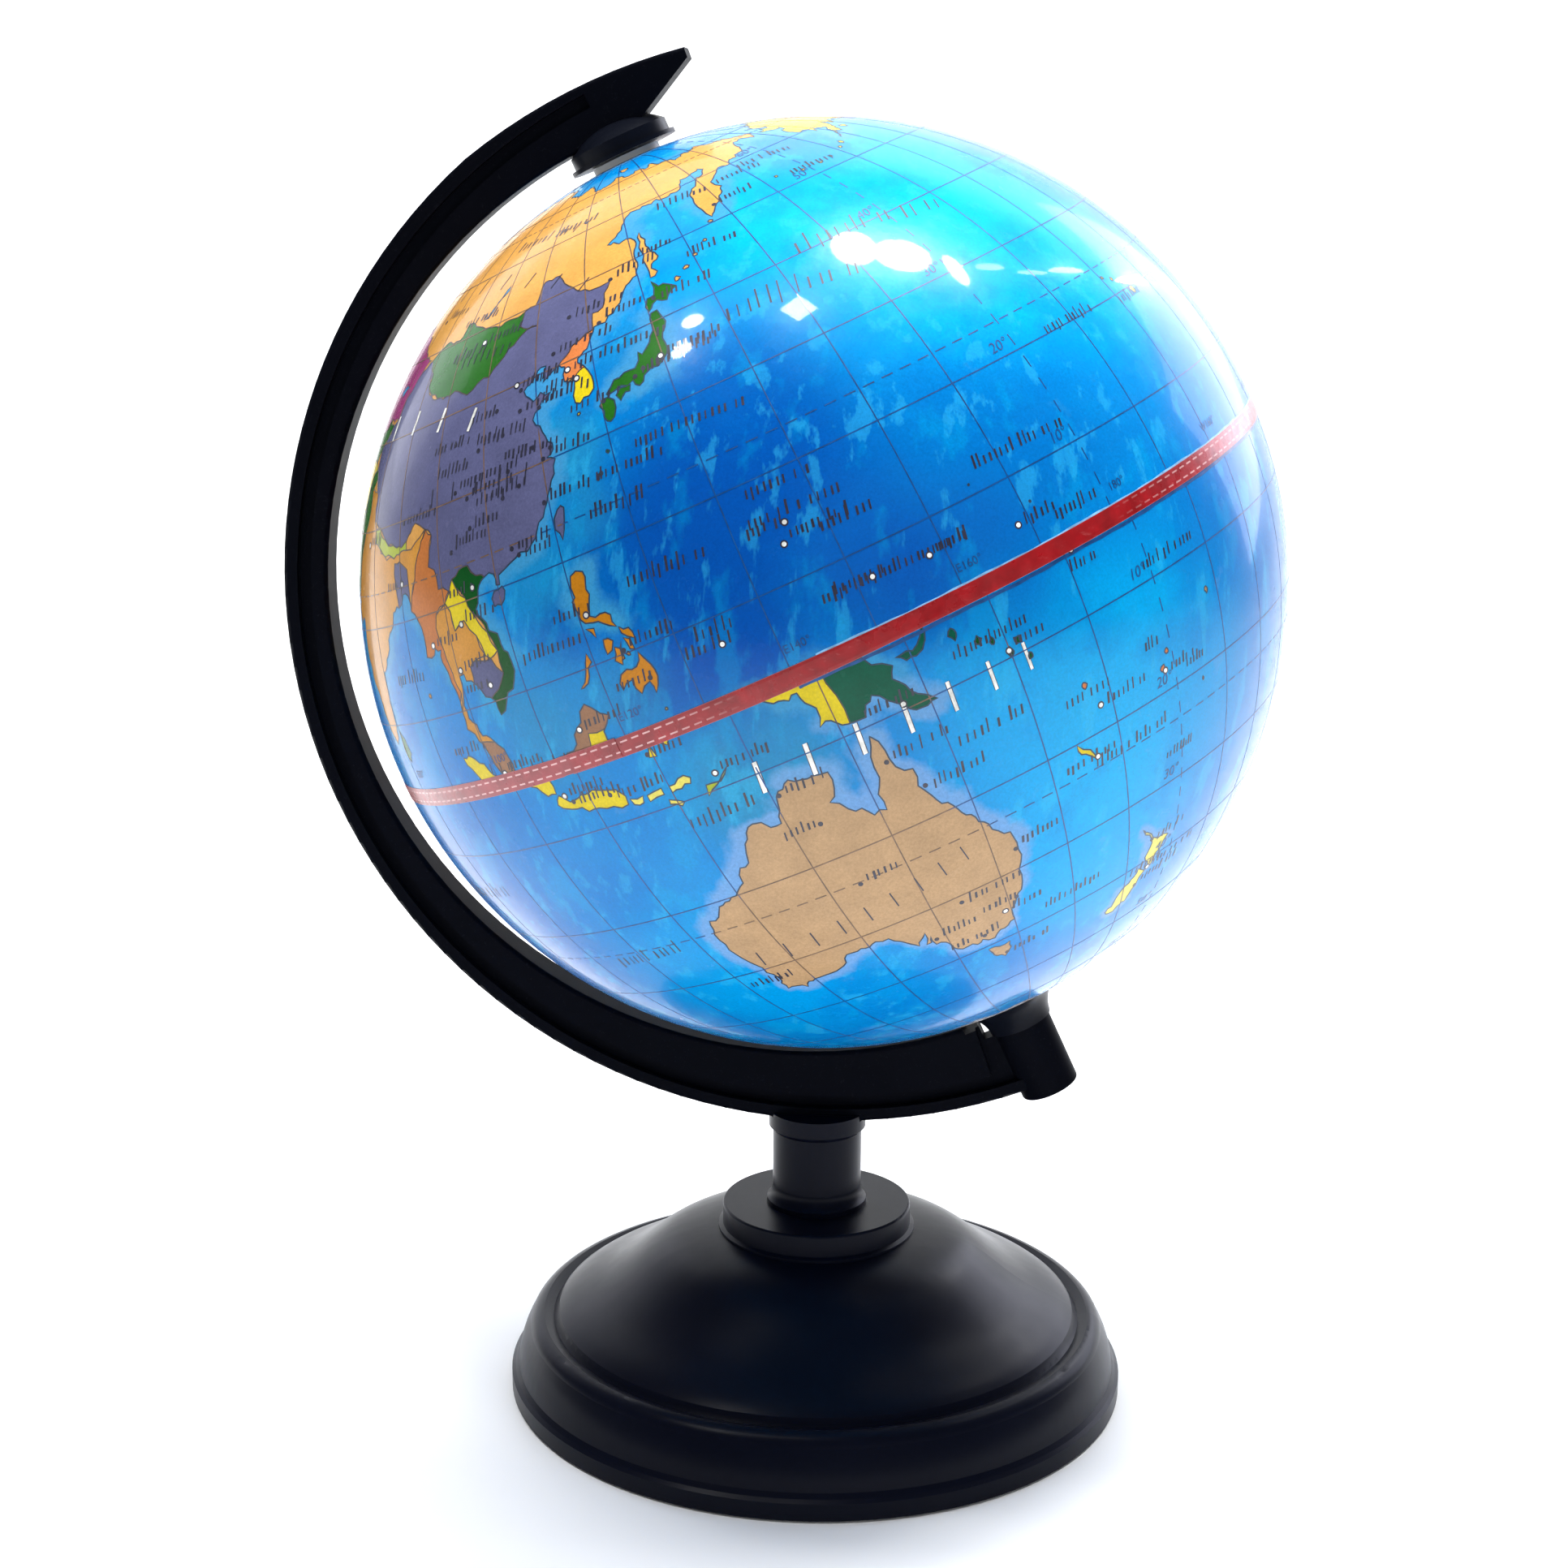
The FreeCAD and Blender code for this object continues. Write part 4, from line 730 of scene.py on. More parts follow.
def bump(tree, shader, height, strength, distance):
    n = add(tree, "ShaderNodeBump")
    n.inputs["Strength"].default_value = strength
    n.inputs["Distance"].default_value = distance
    tree.links.new(height, n.inputs["Height"])
    tree.links.new(n.outputs["Normal"], shader.inputs["Normal"])


def finish(tree, shader, colour, roughness, spread=0.0, scales=()):
    """Links the colour, and a roughness that wavers a little round its own number."""
    tree.links.new(colour, shader.inputs["Base Color"])
    total = None
    for k, scale in enumerate(scales):
        other_place = (k + 1.3, 2.1 * k, 0.7)
        part = remap(tree, noise(tree, scale, 3.0, 0.5, other_place), 0.3, 0.7, -spread, spread)
        total = maths(tree, "ADD", total, part) if total else part
    if total:
        level = maths(tree, "ADD", total, roughness, clamp=True)
        tree.links.new(level, shader.inputs["Roughness"])


# ---- finishes --------------------------------------------------------------------------------
# mottling of the sea: noise scale and its settings, the noise's low and high end, strength, colour
SEA_PATCHES = ((38, {"offset": (0.4, 0.1, 0.9)}, 0.50, 0.62, 0.30, (0.0, 0.12, 0.46)),
               (75, {"stretch": (1.5, 1.5, 0.6)}, 0.54, 0.62, 0.22, (0.0, 0.38, 0.70)),
               (130, {"stretch": (1.6, 1.6, 0.35)}, 0.57, 0.63, 0.30, (0.03, 0.46, 0.76)))


def print_finish():
    """Glossy laminated paper: ocean tints, shelves and land fills with a fine printing grain."""
    m, t, s = new_material("printed_map", (0.03, 0.42, 0.78), 0.30, Coat_Weight=0.24,
                           Coat_Roughness=0.04, Specular_IOR_Level=0.12)
    sea = attribute(t, "sea_tint", "Color")
    for scale, settings, low, high, strength, colour in SEA_PATCHES:
        patch = remap(t, noise(t, scale, **settings), low, high, 0.0, strength)
        sea = blend(t, patch, sea, colour)
    ragged = remap(t, noise(t, 110), 0.3, 0.7, -0.30, 0.30)
    halo = remap(t, maths(t, "ADD", attribute(t, "shelf"), ragged), 0.22, 0.62, 0.0, 0.85)
    sea = blend(t, halo, sea, attribute(t, "shelf_tint", "Color"))
    land = clouded(t, attribute(t, "land_paint", "Color"), 150, 0.9, 1.12, 4.0, 0.6, 0.3, 0.75)
    both = blend(t, attribute(t, "is_land"), sea, land)
    grained = clouded(t, both, 1900, 0.86, 1.12, 2.0, 0.7, 0.25, 0.75)
    finish(t, s, grained, 0.24, 0.035, (35, 260))
    bump(t, s, noise(t, 95), 0.16, 0.0007)
    return m


def ink_finish(name, over_sea, over_land):
    m, t, s = new_material(name, over_sea, 0.4, Coat_Weight=0.3)
    colour = blend(t, attribute(t, "is_land"), over_sea, over_land)
    finish(t, s, clouded(t, colour, 420, 0.75, 1.35, 3.0, 0.5, 0.35, 0.7), 0.4, 0.06, (300,))
    return m


def tape_finish():
    """Glossy red tape; its two rows of printed dashes come from the tape's own UV map."""
    m, t, s = new_material("red_tape", (0.42, 0.008, 0.008), 0.34, Coat_Weight=0.2,
                           Coat_Roughness=0.12)
    split = add(t, "ShaderNodeSeparateXYZ")
    t.links.new(add(t, "ShaderNodeUVMap", uv_map="tape_run").outputs["UV"], split.inputs[0])
    along = maths(t, "FRACT", split.outputs["X"])
    across = maths(t, "ABSOLUTE", split.outputs["Y"])
    row = maths(t, "MULTIPLY", remap(t, across, 0.42, 0.46, 0.0, 1.0),
                remap(t, across, 0.58, 0.62, 1.0, 0.0))
    mark = maths(t, "MULTIPLY", row, remap(t, along, 0.60, 0.64, 1.0, 0.0))
    worn = maths(t, "MULTIPLY", mark, attribute(t, "dash_ink"))
    red = blend(t, attribute(t, "faded"), (0.27, 0.003, 0.006), (0.29, 0.035, 0.045))
    red = clouded(t, red, 240, 0.8, 1.3, 4.0, 0.6, 0.35, 0.7)
    rubbed = remap(t, noise(t, 330, 5.0, 0.7, stretch=(1, 1, 2.5)), 0.60, 0.74, 0.0, 0.35)
    red = blend(t, rubbed, red, (0.60, 0.16, 0.16))
    red = blend(t, worn, red, (0.78, 0.50, 0.50))
    lip = remap(t, across, 0.93, 1.0, 0.0, 0.35)
    finish(t, s, blend(t, lip, red, (0.62, 0.30, 0.32)), 0.3, 0.07, (60, 420))
    bump(t, s, noise(t, 380), 0.25, 0.0002)
    return m


def black_finish(name, base, roughness, grain_scale, grain, dust, shine):
    """Moulded black plastic: a fine grain, faint unevenness and a little settled dust."""
    m, t, s = new_material(name, base, roughness, Specular_IOR_Level=shine)
    speck = remap(t, noise(t, 1500, 2.0, 0.7), 0.62, 0.72, 0.0, dust)
    colour = blend(t, speck, clouded(t, base, 30, 0.92, 1.1, roughness=0.6), (0.10, 0.11, 0.13))
    finish(t, s, colour, roughness, 0.012, (40, 260))
    bump(t, s, noise(t, grain_scale, 2.0), grain, 0.00008)
    return m


def steel_finish():
    m, t, s = new_material("zinc_steel", (0.55, 0.56, 0.58), 0.32, Metallic=1.0)
    finish(t, s, clouded(t, (0.55, 0.56, 0.58), 220, 0.8, 1.15), 0.32, 0.08, (300, 900))
    return m


def felt_finish():
    m, t, s = new_material("felt", (0.012, 0.013, 0.016), 0.95)
    finish(t, s, clouded(t, (0.012, 0.013, 0.016), 1400, 0.5, 2.2, 4.0, 0.75, 0.3, 0.75), 0.95)
    bump(t, s, noise(t, 1800, 4.0, 0.8), 0.8, 0.0003)
    return m


def plain_finish(name, base, roughness):
    m, t, s = new_material(name, base, roughness)
    finish(t, s, clouded(t, base, 90, 0.85, 1.15), roughness, 0.05, (120,))
    return m


MAP_PRINT = print_finish()
COAST_INK = ink_finish("coast_ink", (0.012, 0.035, 0.07), (0.05, 0.035, 0.03))
GRID_INK = ink_finish("grid_ink", (0.0, 0.055, 0.21), (0.14, 0.08, 0.045))
DOT_INK = ink_finish("dot_ink", (0.02, 0.02, 0.04), (0.03, 0.02, 0.02))
# pale blue ink for a painted highlight: light caught on the paper's edge just above the tape
EDGE_HIGHLIGHT = ink_finish("edge_highlight", (0.20, 0.46, 0.74), (0.5, 0.5, 0.55))
DOT_PAPER = ink_finish("dot_paper", (0.80, 0.80, 0.76), (0.85, 0.82, 0.74))
RED_TAPE = tape_finish()
BASE_BLACK = black_finish("base_black", (0.003, 0.004, 0.010), 0.32, 2600, 0.02, 0.015, 0.08)
ARM_BLACK = black_finish("arm_black", (0.0025, 0.003, 0.0055), 0.42, 2200, 0.12, 0.04, 0.015)
CAP_BLACK = black_finish("cap_black", (0.004, 0.005, 0.009), 0.33, 2400, 0.07, 0.04, 0.07)
STEEL = steel_finish()
FELT = felt_finish()
BALLAST = plain_finish("ballast_iron", (0.09, 0.085, 0.08), 0.6)
INNER = plain_finish("inner_plastic", (0.7, 0.7, 0.68), 0.5)


# ---- the printed ball ------------------------------------------------------------------------
def linked(name, data):
    o = bpy.data.objects.new(name, data)
    bpy.context.scene.collection.objects.link(o)
    return o


def solid_mesh(name, verts, faces, material):
    me = bpy.data.meshes.new(name)
    me.from_pydata([tuple(p) for p in verts], [], [tuple(int(i) for i in f) for f in faces])
    me.materials.append(material)
    me.validate()
    return linked(name, me)


def printed(o):
    """Part of the map print, so it turns with the ball."""
    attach(o, "globe")


def grid_place(p):
    """Longitude and latitude on the ball of a point in space."""
    d = (p - CENTRE).normalized()
    lat = math.degrees(math.asin(max(-1, min(1, d.dot(AXIS)))))
    return math.degrees(math.atan2(d.dot(FRONT), d.dot(SIDE))) + SIDE_LON, lat


def directions(lon, lat):
    a, b = np.radians(lon), np.radians(lat)
    return np.stack([np.cos(b) * np.cos(a), np.cos(b) * np.sin(a), np.sin(b)], -1)


def gather(dirs, spots):
    """How strongly soft round spots cover each direction, from 0 to 1."""
    total = np.zeros(len(dirs))
    for lon, lat, reach, strength in spots:
        angle = np.degrees(np.arccos(np.clip(dirs @ directions(lon, lat), -1, 1)))
        total = 1 - (1 - total) * (1 - strength * np.exp(-((angle / reach) ** 4)))
    return total[:, None]


# the pale shelf along the coasts; every place and width is in degrees
SHELF_REACH, SOUTH_LESS = 2.7, 1.2      # its width, and how much less it is far south
FAR_SOUTH, SOUTH_BLEND = -30, 4
TROPICS, TROPIC_SHELF = (-9, 24), 0.8   # latitudes, and the shelf's strength there
ISLAND_LATS, ISLAND_LONS, ISLAND_SHELF = (-13, 12), (-270, -229), 0.3
HALO_SPLIT = -5                         # its northern colour lies north of this latitude
WARM_LAT, WARM_REACH, WARM_MOST = 8, 22, 0.75


def between(values, ends):
    return (values > ends[0]) & (values < ends[1])


def paint_ball(me):
    """Colour layers of the print: sea tint, shelf, and each face's fill."""
    places = np.array([grid_place(Vector(p)) for p in ball_v])
    lon, lat = places.T
    dirs = directions(lon, lat)
    tint = np.tile(AZURE, (len(dirs), 1))
    for colour, spots in SEA_TINTS:
        k = gather(dirs, spots)
        tint = tint * (1 - k) + np.array(colour) * k
    shore = search_tree([(ball_v[p] + ball_v[q]) / 2 for p, q in shelf_edges])
    away = np.array([shore.find(p)[2] for p in ball_v]) / (math.radians(1) * BALL_R)
    far_south = np.clip((FAR_SOUTH - lat) / SOUTH_BLEND, 0, 1)
    shelf = np.clip(1 - away / (SHELF_REACH - SOUTH_LESS * far_south), 0, 1)
    shelf[between(lat, TROPICS)] *= TROPIC_SHELF
    shelf[between(lat, ISLAND_LATS) & between(lon, ISLAND_LONS)] *= ISLAND_SHELF
    halo = np.where(lat[:, None] > HALO_SPLIT, HALO_NORTH, HALO_SOUTH)
    warm = np.clip(1 - np.abs(lat[:, None] - WARM_LAT) / WARM_REACH, 0, 1) * WARM_MOST
    halo = halo * (1 - warm) + np.array(HALO_WARM) * warm

    def colours_of(name, values, domain):
        layer = me.color_attributes.new(name=name, type="FLOAT_COLOR", domain=domain)
        rgba = np.hstack([values, np.ones((len(values), 1))]).astype(np.float32)
        layer.data.foreach_set("color", rgba.ravel())

    colours_of("sea_tint", tint, "POINT")
    colours_of("shelf_tint", halo, "POINT")
    me.attributes.new("shelf", "FLOAT", "POINT").data.foreach_set("value", shelf.astype(np.float32))
    fills = np.array([PAINT[c] or (0, 0, 0) for c in colours] + [(0, 0, 0)])
    colours_of("land_paint", np.repeat(fills[ball_colour], 3, 0), "CORNER")
    dry = np.repeat(ball_colour >= 0, 3).astype(np.float32)
    colours_of("is_land", np.repeat(dry[:, None], 3, 1), "CORNER")


def make_print():
    """The ball's printed skin, every corner's normal pointing straight out from the centre."""
    o = solid_mesh("globe_print", ball_v, ball_f, MAP_PRINT)
    me = o.data
    paint_ball(me)
    me.shade_smooth()
    me.normals_split_custom_set_from_vertices([(v.co - CENTRE).normalized() for v in me.vertices])
    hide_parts("north_hemisphere", "south_hemisphere")
    printed(o)


# ---- inked lines -----------------------------------------------------------------------------
INK_LIFT = 0.03 * MM
INK_DEPTH = 0.1 * MM


def ink_tree():
    """Flat ink line along every edge chain of a mesh, and the identifier of each named input."""
    g = bpy.data.node_groups.new("ink_line", "GeometryNodeTree")
    ids = {}
    for name, kind in (("Path", "Geometry"), ("Line width", "Float"), ("Ink depth", "Float"),
                       ("Ball centre", "Vector"), ("Ink", "Material")):
        socket = g.interface.new_socket(name, in_out="INPUT", socket_type="NodeSocket" + kind)
        ids[name] = socket.identifier
    g.interface.new_socket("Line", in_out="OUTPUT", socket_type="NodeSocketGeometry")
    n, link = g.nodes.new, g.links.new
    start, end = n("NodeGroupInput"), n("NodeGroupOutput")
    curve, sweep = n("GeometryNodeMeshToCurve"), n("GeometryNodeCurveToMesh")
    flat, face_out = n("GeometryNodeCurvePrimitiveQuadrilateral"), n("GeometryNodeSetCurveNormal")
    face_out.mode = "FREE"
    spot, way = n("GeometryNodeInputPosition"), n("ShaderNodeVectorMath")
    way.operation = "SUBTRACT"
    paint, real = n("GeometryNodeSetMaterial"), n("GeometryNodeRealizeInstances")
    sweep.inputs["Fill Caps"].default_value = True
    for source, output, target, socket in (
            (start, "Path", curve, "Mesh"),
            (spot, "Position", way, 0),
            (start, "Ball centre", way, 1),
            (curve, "Curve", face_out, "Curve"),
            (way, "Vector", face_out, "Normal"),
            (start, "Ink depth", flat, "Width"),
            (start, "Line width", flat, "Height"),
            (face_out, "Curve", sweep, "Curve"),
            (flat, "Curve", sweep, "Profile Curve"),
            (sweep, "Mesh", real, "Geometry"),
            (real, "Geometry", paint, "Geometry"),
            (start, "Ink", paint, "Material"),
            (paint, "Geometry", end, "Line")):
        link(source.outputs[output], target.inputs[socket])
    return g, ids


INK_TREE, INK_INPUTS = ink_tree()


def draw_lines(name, verts, edges, land, width, ink):
    """Sweeps edge chains into one plain mesh that rides on the globe."""
    me = bpy.data.meshes.new(name + "_path")
    middle = np.array(CENTRE)
    d = np.array([tuple(p) for p in verts]) - middle
    v = middle + d / np.linalg.norm(d, axis=1)[:, None] * (BALL_R + INK_LIFT - INK_DEPTH / 2)
    me.from_pydata(v.tolist(), edges, [])
    flags = me.attributes.new("is_land", "FLOAT_COLOR", "POINT")
    flags.data.foreach_set("color", np.repeat(np.array(land, np.float32), 4))
    path = linked(name + "_path", me)
    mod = path.modifiers.new("ink", "NODES")
    mod.node_group = INK_TREE
    for key, value in (("Line width", width), ("Ink depth", INK_DEPTH),
                       ("Ball centre", tuple(CENTRE)), ("Ink", ink)):
        mod[INK_INPUTS[key]] = value
    deps = bpy.context.evaluated_depsgraph_get()
    made = bpy.data.meshes.new_from_object(path.evaluated_get(deps))
    bpy.data.objects.remove(path)
    made.name = name
    if not made.materials:
        made.materials.append(ink)
    made.shade_flat()
    printed(linked(name, made))


def compact(edges):
    used = sorted({i for e in edges for i in e})
    place = {i: k for k, i in enumerate(used)}
    return [ball_v[i] for i in used], [(place[a], place[b]) for a, b in edges]


def over_land(p):
    return float(ball_colour[bvh.find_nearest(p)[2]] >= 0)


GRID_FROM = ((1, 2.2), (-1, 3.8))   # each half's sign, and where its meridians leave the tape
SHORT_MERIDIAN, DATE_LINE = 81, 180
TROPIC, CIRCLE = 23.45, 66.55


def grid_lines():
    """Parallels and meridians every ten degrees, dashed tropics and circles, and the date line."""
    verts, edges = [], []

    def run(samples, dash=None):
        pen = None
        for k, p in enumerate(samples):
            if dash and k % dash == 0:
                pen = None
                continue
            verts.append(p)
            if pen is not None:
                edges.append((pen, len(verts) - 1))
            pen = len(verts) - 1

    for sign, first in GRID_FROM:
        for lat in range(10, 90, 10):
            run([on_ball(lon, sign * lat) for lon in range(361)])
        for lon in range(0, 360, 10):
            last = SHORT_MERIDIAN if lon % 30 else 90
            steps, dash = (140, 4) if lon == DATE_LINE else (72, None)
            run([on_ball(lon, sign * s) for s in np.linspace(first, last, steps)], dash)
        for lat in (TROPIC, CIRCLE):
            run([on_ball(lon, sign * lat) for lon in np.arange(0, 360.5, 0.5)], 5)
    return verts, edges


def around(turn, level):
    """Direction at a turn round the axis and a level above the equator."""
    flat = SIDE * math.cos(turn) + FRONT * math.sin(turn)
    return flat * math.cos(level) + AXIS * math.sin(level)


def seam_line(first, count, side):
    """A line along the paper's edge just beside the tape, a point every half degree."""
    verts = []
    for k in range(count):
        level = math.radians(side + 0.05 * math.sin(k * 0.21) + 0.03 * math.sin(k * 0.83))
        verts.append(CENTRE + around(math.radians(first + k * 0.5 - SIDE_LON), level) * BALL_R)
    return verts, [(k - 1, k) for k in range(1, count)]


def make_lines():
    """Every inked line: name, path, land or sea ink (None looks at the print below), width, ink."""
    for name, (v, e), land, width, ink in (
            ("coast_lines", compact(coast_edges), 0.0, 0.30, COAST_INK),
            ("border_lines", compact(border_edges), 1.0, 0.25, COAST_INK),
            ("grid_lines", grid_lines(), None, 0.25, GRID_INK),
            ("seam_line", seam_line(138, 250, -1.24), 0.0, 0.62, GRID_INK),
            # the pale line above the tape is a painted highlight, light caught on the paper's edge
            # there
            ("edge_highlight_line", seam_line(141, 200, 1.19), 0.0, 0.42, EDGE_HIGHLIGHT)):
        flags = [over_land(p) if land is None else land for p in v]
        draw_lines(name, v, e, flags, width * MM, ink)


# ---- town marks, rows of ticks and degree numbers --------------------------------------------
SUNK = 0.03 * MM            # how far the dots reach into the ball
DARK_LIFT, PALE_LIFT = 0.035 * MM, 0.05 * MM
TICK_LIFT, NUMBER_LIFT, BAR_LIFT = 0.045 * MM, 0.05 * MM, 0.055 * MM
TICK_WIDTH = 0.34 * MM
TICK_SLANT, BAR_SLANT, NUMBER_SLANT = 0.18, 0.12, 0.2
BAR_WIDTH, PALE_WIDTH, EDGE_WIDTH = 0.32 * MM, 0.85 * MM, 0.16 * MM
DOT_SIDES = 14
CAPITAL_R, CAPITAL_CORE_R, TOWN_R = 0.75 * MM, 0.45 * MM, 0.5 * MM
GAP_CHANCE, TAIL_CHANCE = 0.16, 0.12
TICK_HEIGHTS = (0.62, 0.62, 0.68, 1.0)
TOWN_SIDES = (0.9, 0.9, -4.2)       # a town's ticks start beside it or end beside it, degrees
TOWN_TICK, TOWN_PITCH = 2.3 * MM, 1.12 * MM
SEA_TICK, SEA_PITCH = 1.5, 0.68     # times the row's own height
LARGE_NUMBER, SMALL_NUMBER = 3.1 * MM, 2.3 * MM


def tangents(up):
    east = AXIS.cross(up).normalized()
    return east, up.cross(east)


def lay(up, x, y, lift):
    """The point x along the parallel and y along the meridian from a spot on the ball."""
    east, north = tangents(up)
    d = up * BALL_R + east * x + north * y
    return CENTRE + d.normalized() * (BALL_R + lift)


def add_disc(verts, faces, up, radius, height):
    """A thin raised dot that follows the ball."""
    east, north = tangents(up)
    base = len(verts)
    for lift in (-SUNK, height):
        for k in range(DOT_SIDES):
            t = 2 * math.pi * k / DOT_SIDES
            d = up * BALL_R + (east * math.cos(t) + north * math.sin(t)) * radius
            verts.append(CENTRE + d.normalized() * (BALL_R + lift))
    verts.append(CENTRE + up * (BALL_R + height))
    verts.append(CENTRE + up * (BALL_R - SUNK))
    top, bottom = base + 2 * DOT_SIDES, base + 2 * DOT_SIDES + 1
    for k in range(DOT_SIDES):
        a, b = base + k, base + (k + 1) % DOT_SIDES
        faces.append((a, b, b + DOT_SIDES, a + DOT_SIDES))
        faces.append((a + DOT_SIDES, b + DOT_SIDES, top))
        faces.append((b, a, bottom))


def make_town_marks():
    dark, pale = ([], []), ([], [])
    for lon, lat in CAPITALS:
        add_disc(*dark, outward(lon, lat), CAPITAL_R, DARK_LIFT)
        add_disc(*pale, outward(lon, lat), CAPITAL_CORE_R, PALE_LIFT)
    for lon, lat in TOWNS:
        add_disc(*dark, outward(lon, lat), TOWN_R, DARK_LIFT)
    printed(solid_mesh("town_dots", *dark, DOT_INK))
    printed(solid_mesh("capital_dots", *pale, DOT_PAPER))


def add_bar(verts, faces, up, x, y, wide, low, high, slant, lift):
    """One upright bar laid on the ball, leaning by its slant."""
    base = len(verts)
    for dx, dy in ((0, low), (wide, low), (wide, high), (0, high)):
        verts.append(lay(up, x + dx + slant * dy, y + dy, lift))
    faces.append((base, base + 1, base + 2, base + 3))


def add_tick_row(verts, faces, lon, lat, count, height, pitch):
    """A row of plain upright ticks, in place of a printed name."""
    up = outward(lon, lat)
    x = 0.0
    for k in range(count):
        if k > 3 and rng.random() < GAP_CHANCE:
            x += pitch * 0.8
        tall = height * rng.choice(TICK_HEIGHTS)
        foot = -0.2 * height if rng.random() < TAIL_CHANCE else 0.0
        thick = TICK_WIDTH * rng.uniform(0.8, 1.5)
        add_bar(verts, faces, up, x, 0.0, thick, foot, tall, TICK_SLANT, TICK_LIFT)
        x += pitch * rng.uniform(0.8, 1.25)


def make_tick_rows():
    ticks = ([], [])
    for lon, lat in CAPITALS + TOWNS:
        shrink = max(0.3, math.cos(math.radians(lat)))
        side = rng.choice(TOWN_SIDES)
        add_tick_row(*ticks, lon + side / shrink, lat + rng.uniform(-0.5, 0.4), rng.randint(6, 9),
                     TOWN_TICK, TOWN_PITCH)
    for lon, lat, count, height in SEA_ROWS:
        add_tick_row(*ticks, lon, lat, int(count), SEA_TICK * height * MM, SEA_PITCH * height * MM)
    printed(solid_mesh("tick_rows", *ticks, DOT_INK))


def make_wide_rows():
    """Rows of plain spaced bars, in place of the large names; the pale ones have a dark edge."""
    dark, pale = ([], []), ([], [])
    for lon, lat, count, tall, step, slope, light in WIDE_ROWS:
        up = outward(lon, lat)
        for k in range(count):
            x, y, h = k * step * MM, k * step * slope * MM, tall * MM
            bars = [(dark, x, y, BAR_WIDTH, h)]
            if light:
                drop = 0.1 * MM
                bars = [(pale, x, y, PALE_WIDTH, h),
                        (dark, x + PALE_WIDTH, y - drop, EDGE_WIDTH, h + drop),
                        (dark, x - EDGE_WIDTH, y, EDGE_WIDTH, h)]
            for shape, left, foot, wide, high in bars:
                add_bar(*shape, up, left, foot, wide, 0, high, BAR_SLANT, BAR_LIFT)
    printed(solid_mesh("wide_rows", *dark, DOT_INK))
    printed(solid_mesh("pale_rows", *pale, DOT_PAPER))


def add_number(verts, faces, text, lon, lat, size, slant=0.0):
    """A degree number laid on the ball, level with its parallel."""
    font = bpy.data.curves.new("number", "FONT")
    font.body = text
    font.size = size
    font.resolution_u = 3
    font.align_x = "RIGHT"
    o = linked("number", font)
    deps = bpy.context.evaluated_depsgraph_get()
    me = bpy.data.meshes.new_from_object(o.evaluated_get(deps))
    up = outward(lon, lat)
    base = len(verts)
    verts += [lay(up, p.co.x + slant * p.co.y, p.co.y, NUMBER_LIFT) for p in me.vertices]
    faces += [[base + i for i in f.vertices] for f in me.polygons]
    bpy.data.objects.remove(o)
    bpy.data.meshes.remove(me)
    bpy.data.curves.remove(font)


def make_numbers():
    shape = ([], [])
    for lat in range(10, 70, 10):
        for lon in (179.2, -0.8):
            for spot in (lat + 0.7, -lat + 0.7):
                add_number(*shape, "%d°" % lat, lon, spot, LARGE_NUMBER, NUMBER_SLANT)
    for lon in range(20, 361, 20):
        value = lon if lon <= 180 else 360 - lon
        letter = "" if value in (0, 180) else ("E" if lon < 180 else "W")
        add_number(*shape, "%s%d°" % (letter, value), lon + 3.3, 4.3, SMALL_NUMBER)
    printed(solid_mesh("degree_numbers", *shape, GRID_INK))


# ---- tape ------------------------------------------------------------------------------------
TAPE_HALF = 2.0             # half its width, mm
TAPE_END_LON = 109.6        # where the tape's outer end lies over its start
TAPE_LAP = 7.0              # degrees of overlap
CLIMB = 1.5                 # degrees over which the end rises onto the start
TAPE_ROWS = 6
TAPE_STEPS = 734
TAPE_OVER, TAPE_UNDER = 0.115, 0.012    # its two faces above the ball, mm
LAP_OVER, LAP_UNDER = 0.125, 0.115      # how much higher they are on the lap
LIP = 0.03                  # how far its edges are turned down, mm
DASH_RUN = 2.6 * MM
# how faded the red is, and how clear the dashes are, against printed longitude
FADED_AT = (60, 80, 109.6, 110.4, 124, 135, 182, 195, 215)
FADED = (0, 1, 1, 0.55, 0.25, 0, 0, 0.45, 0)
INKED_AT = (60, 80, 122, 132, 178, 192, 205, 215)
INKED = (0, 0.8, 0.8, 0, 0, 0.6, 0.6, 0)


def tape_drift(run):
    """How far the tape strays from the equator, in mm, at so many degrees from its start."""
    if run > 360 - CLIMB:
        return 0.12
    if run < 60:
        return -0.22 + 0.5 * min(1.0, run / 40)
    return 0.28 * max(0.0, 1 - (run - 60) / 60)


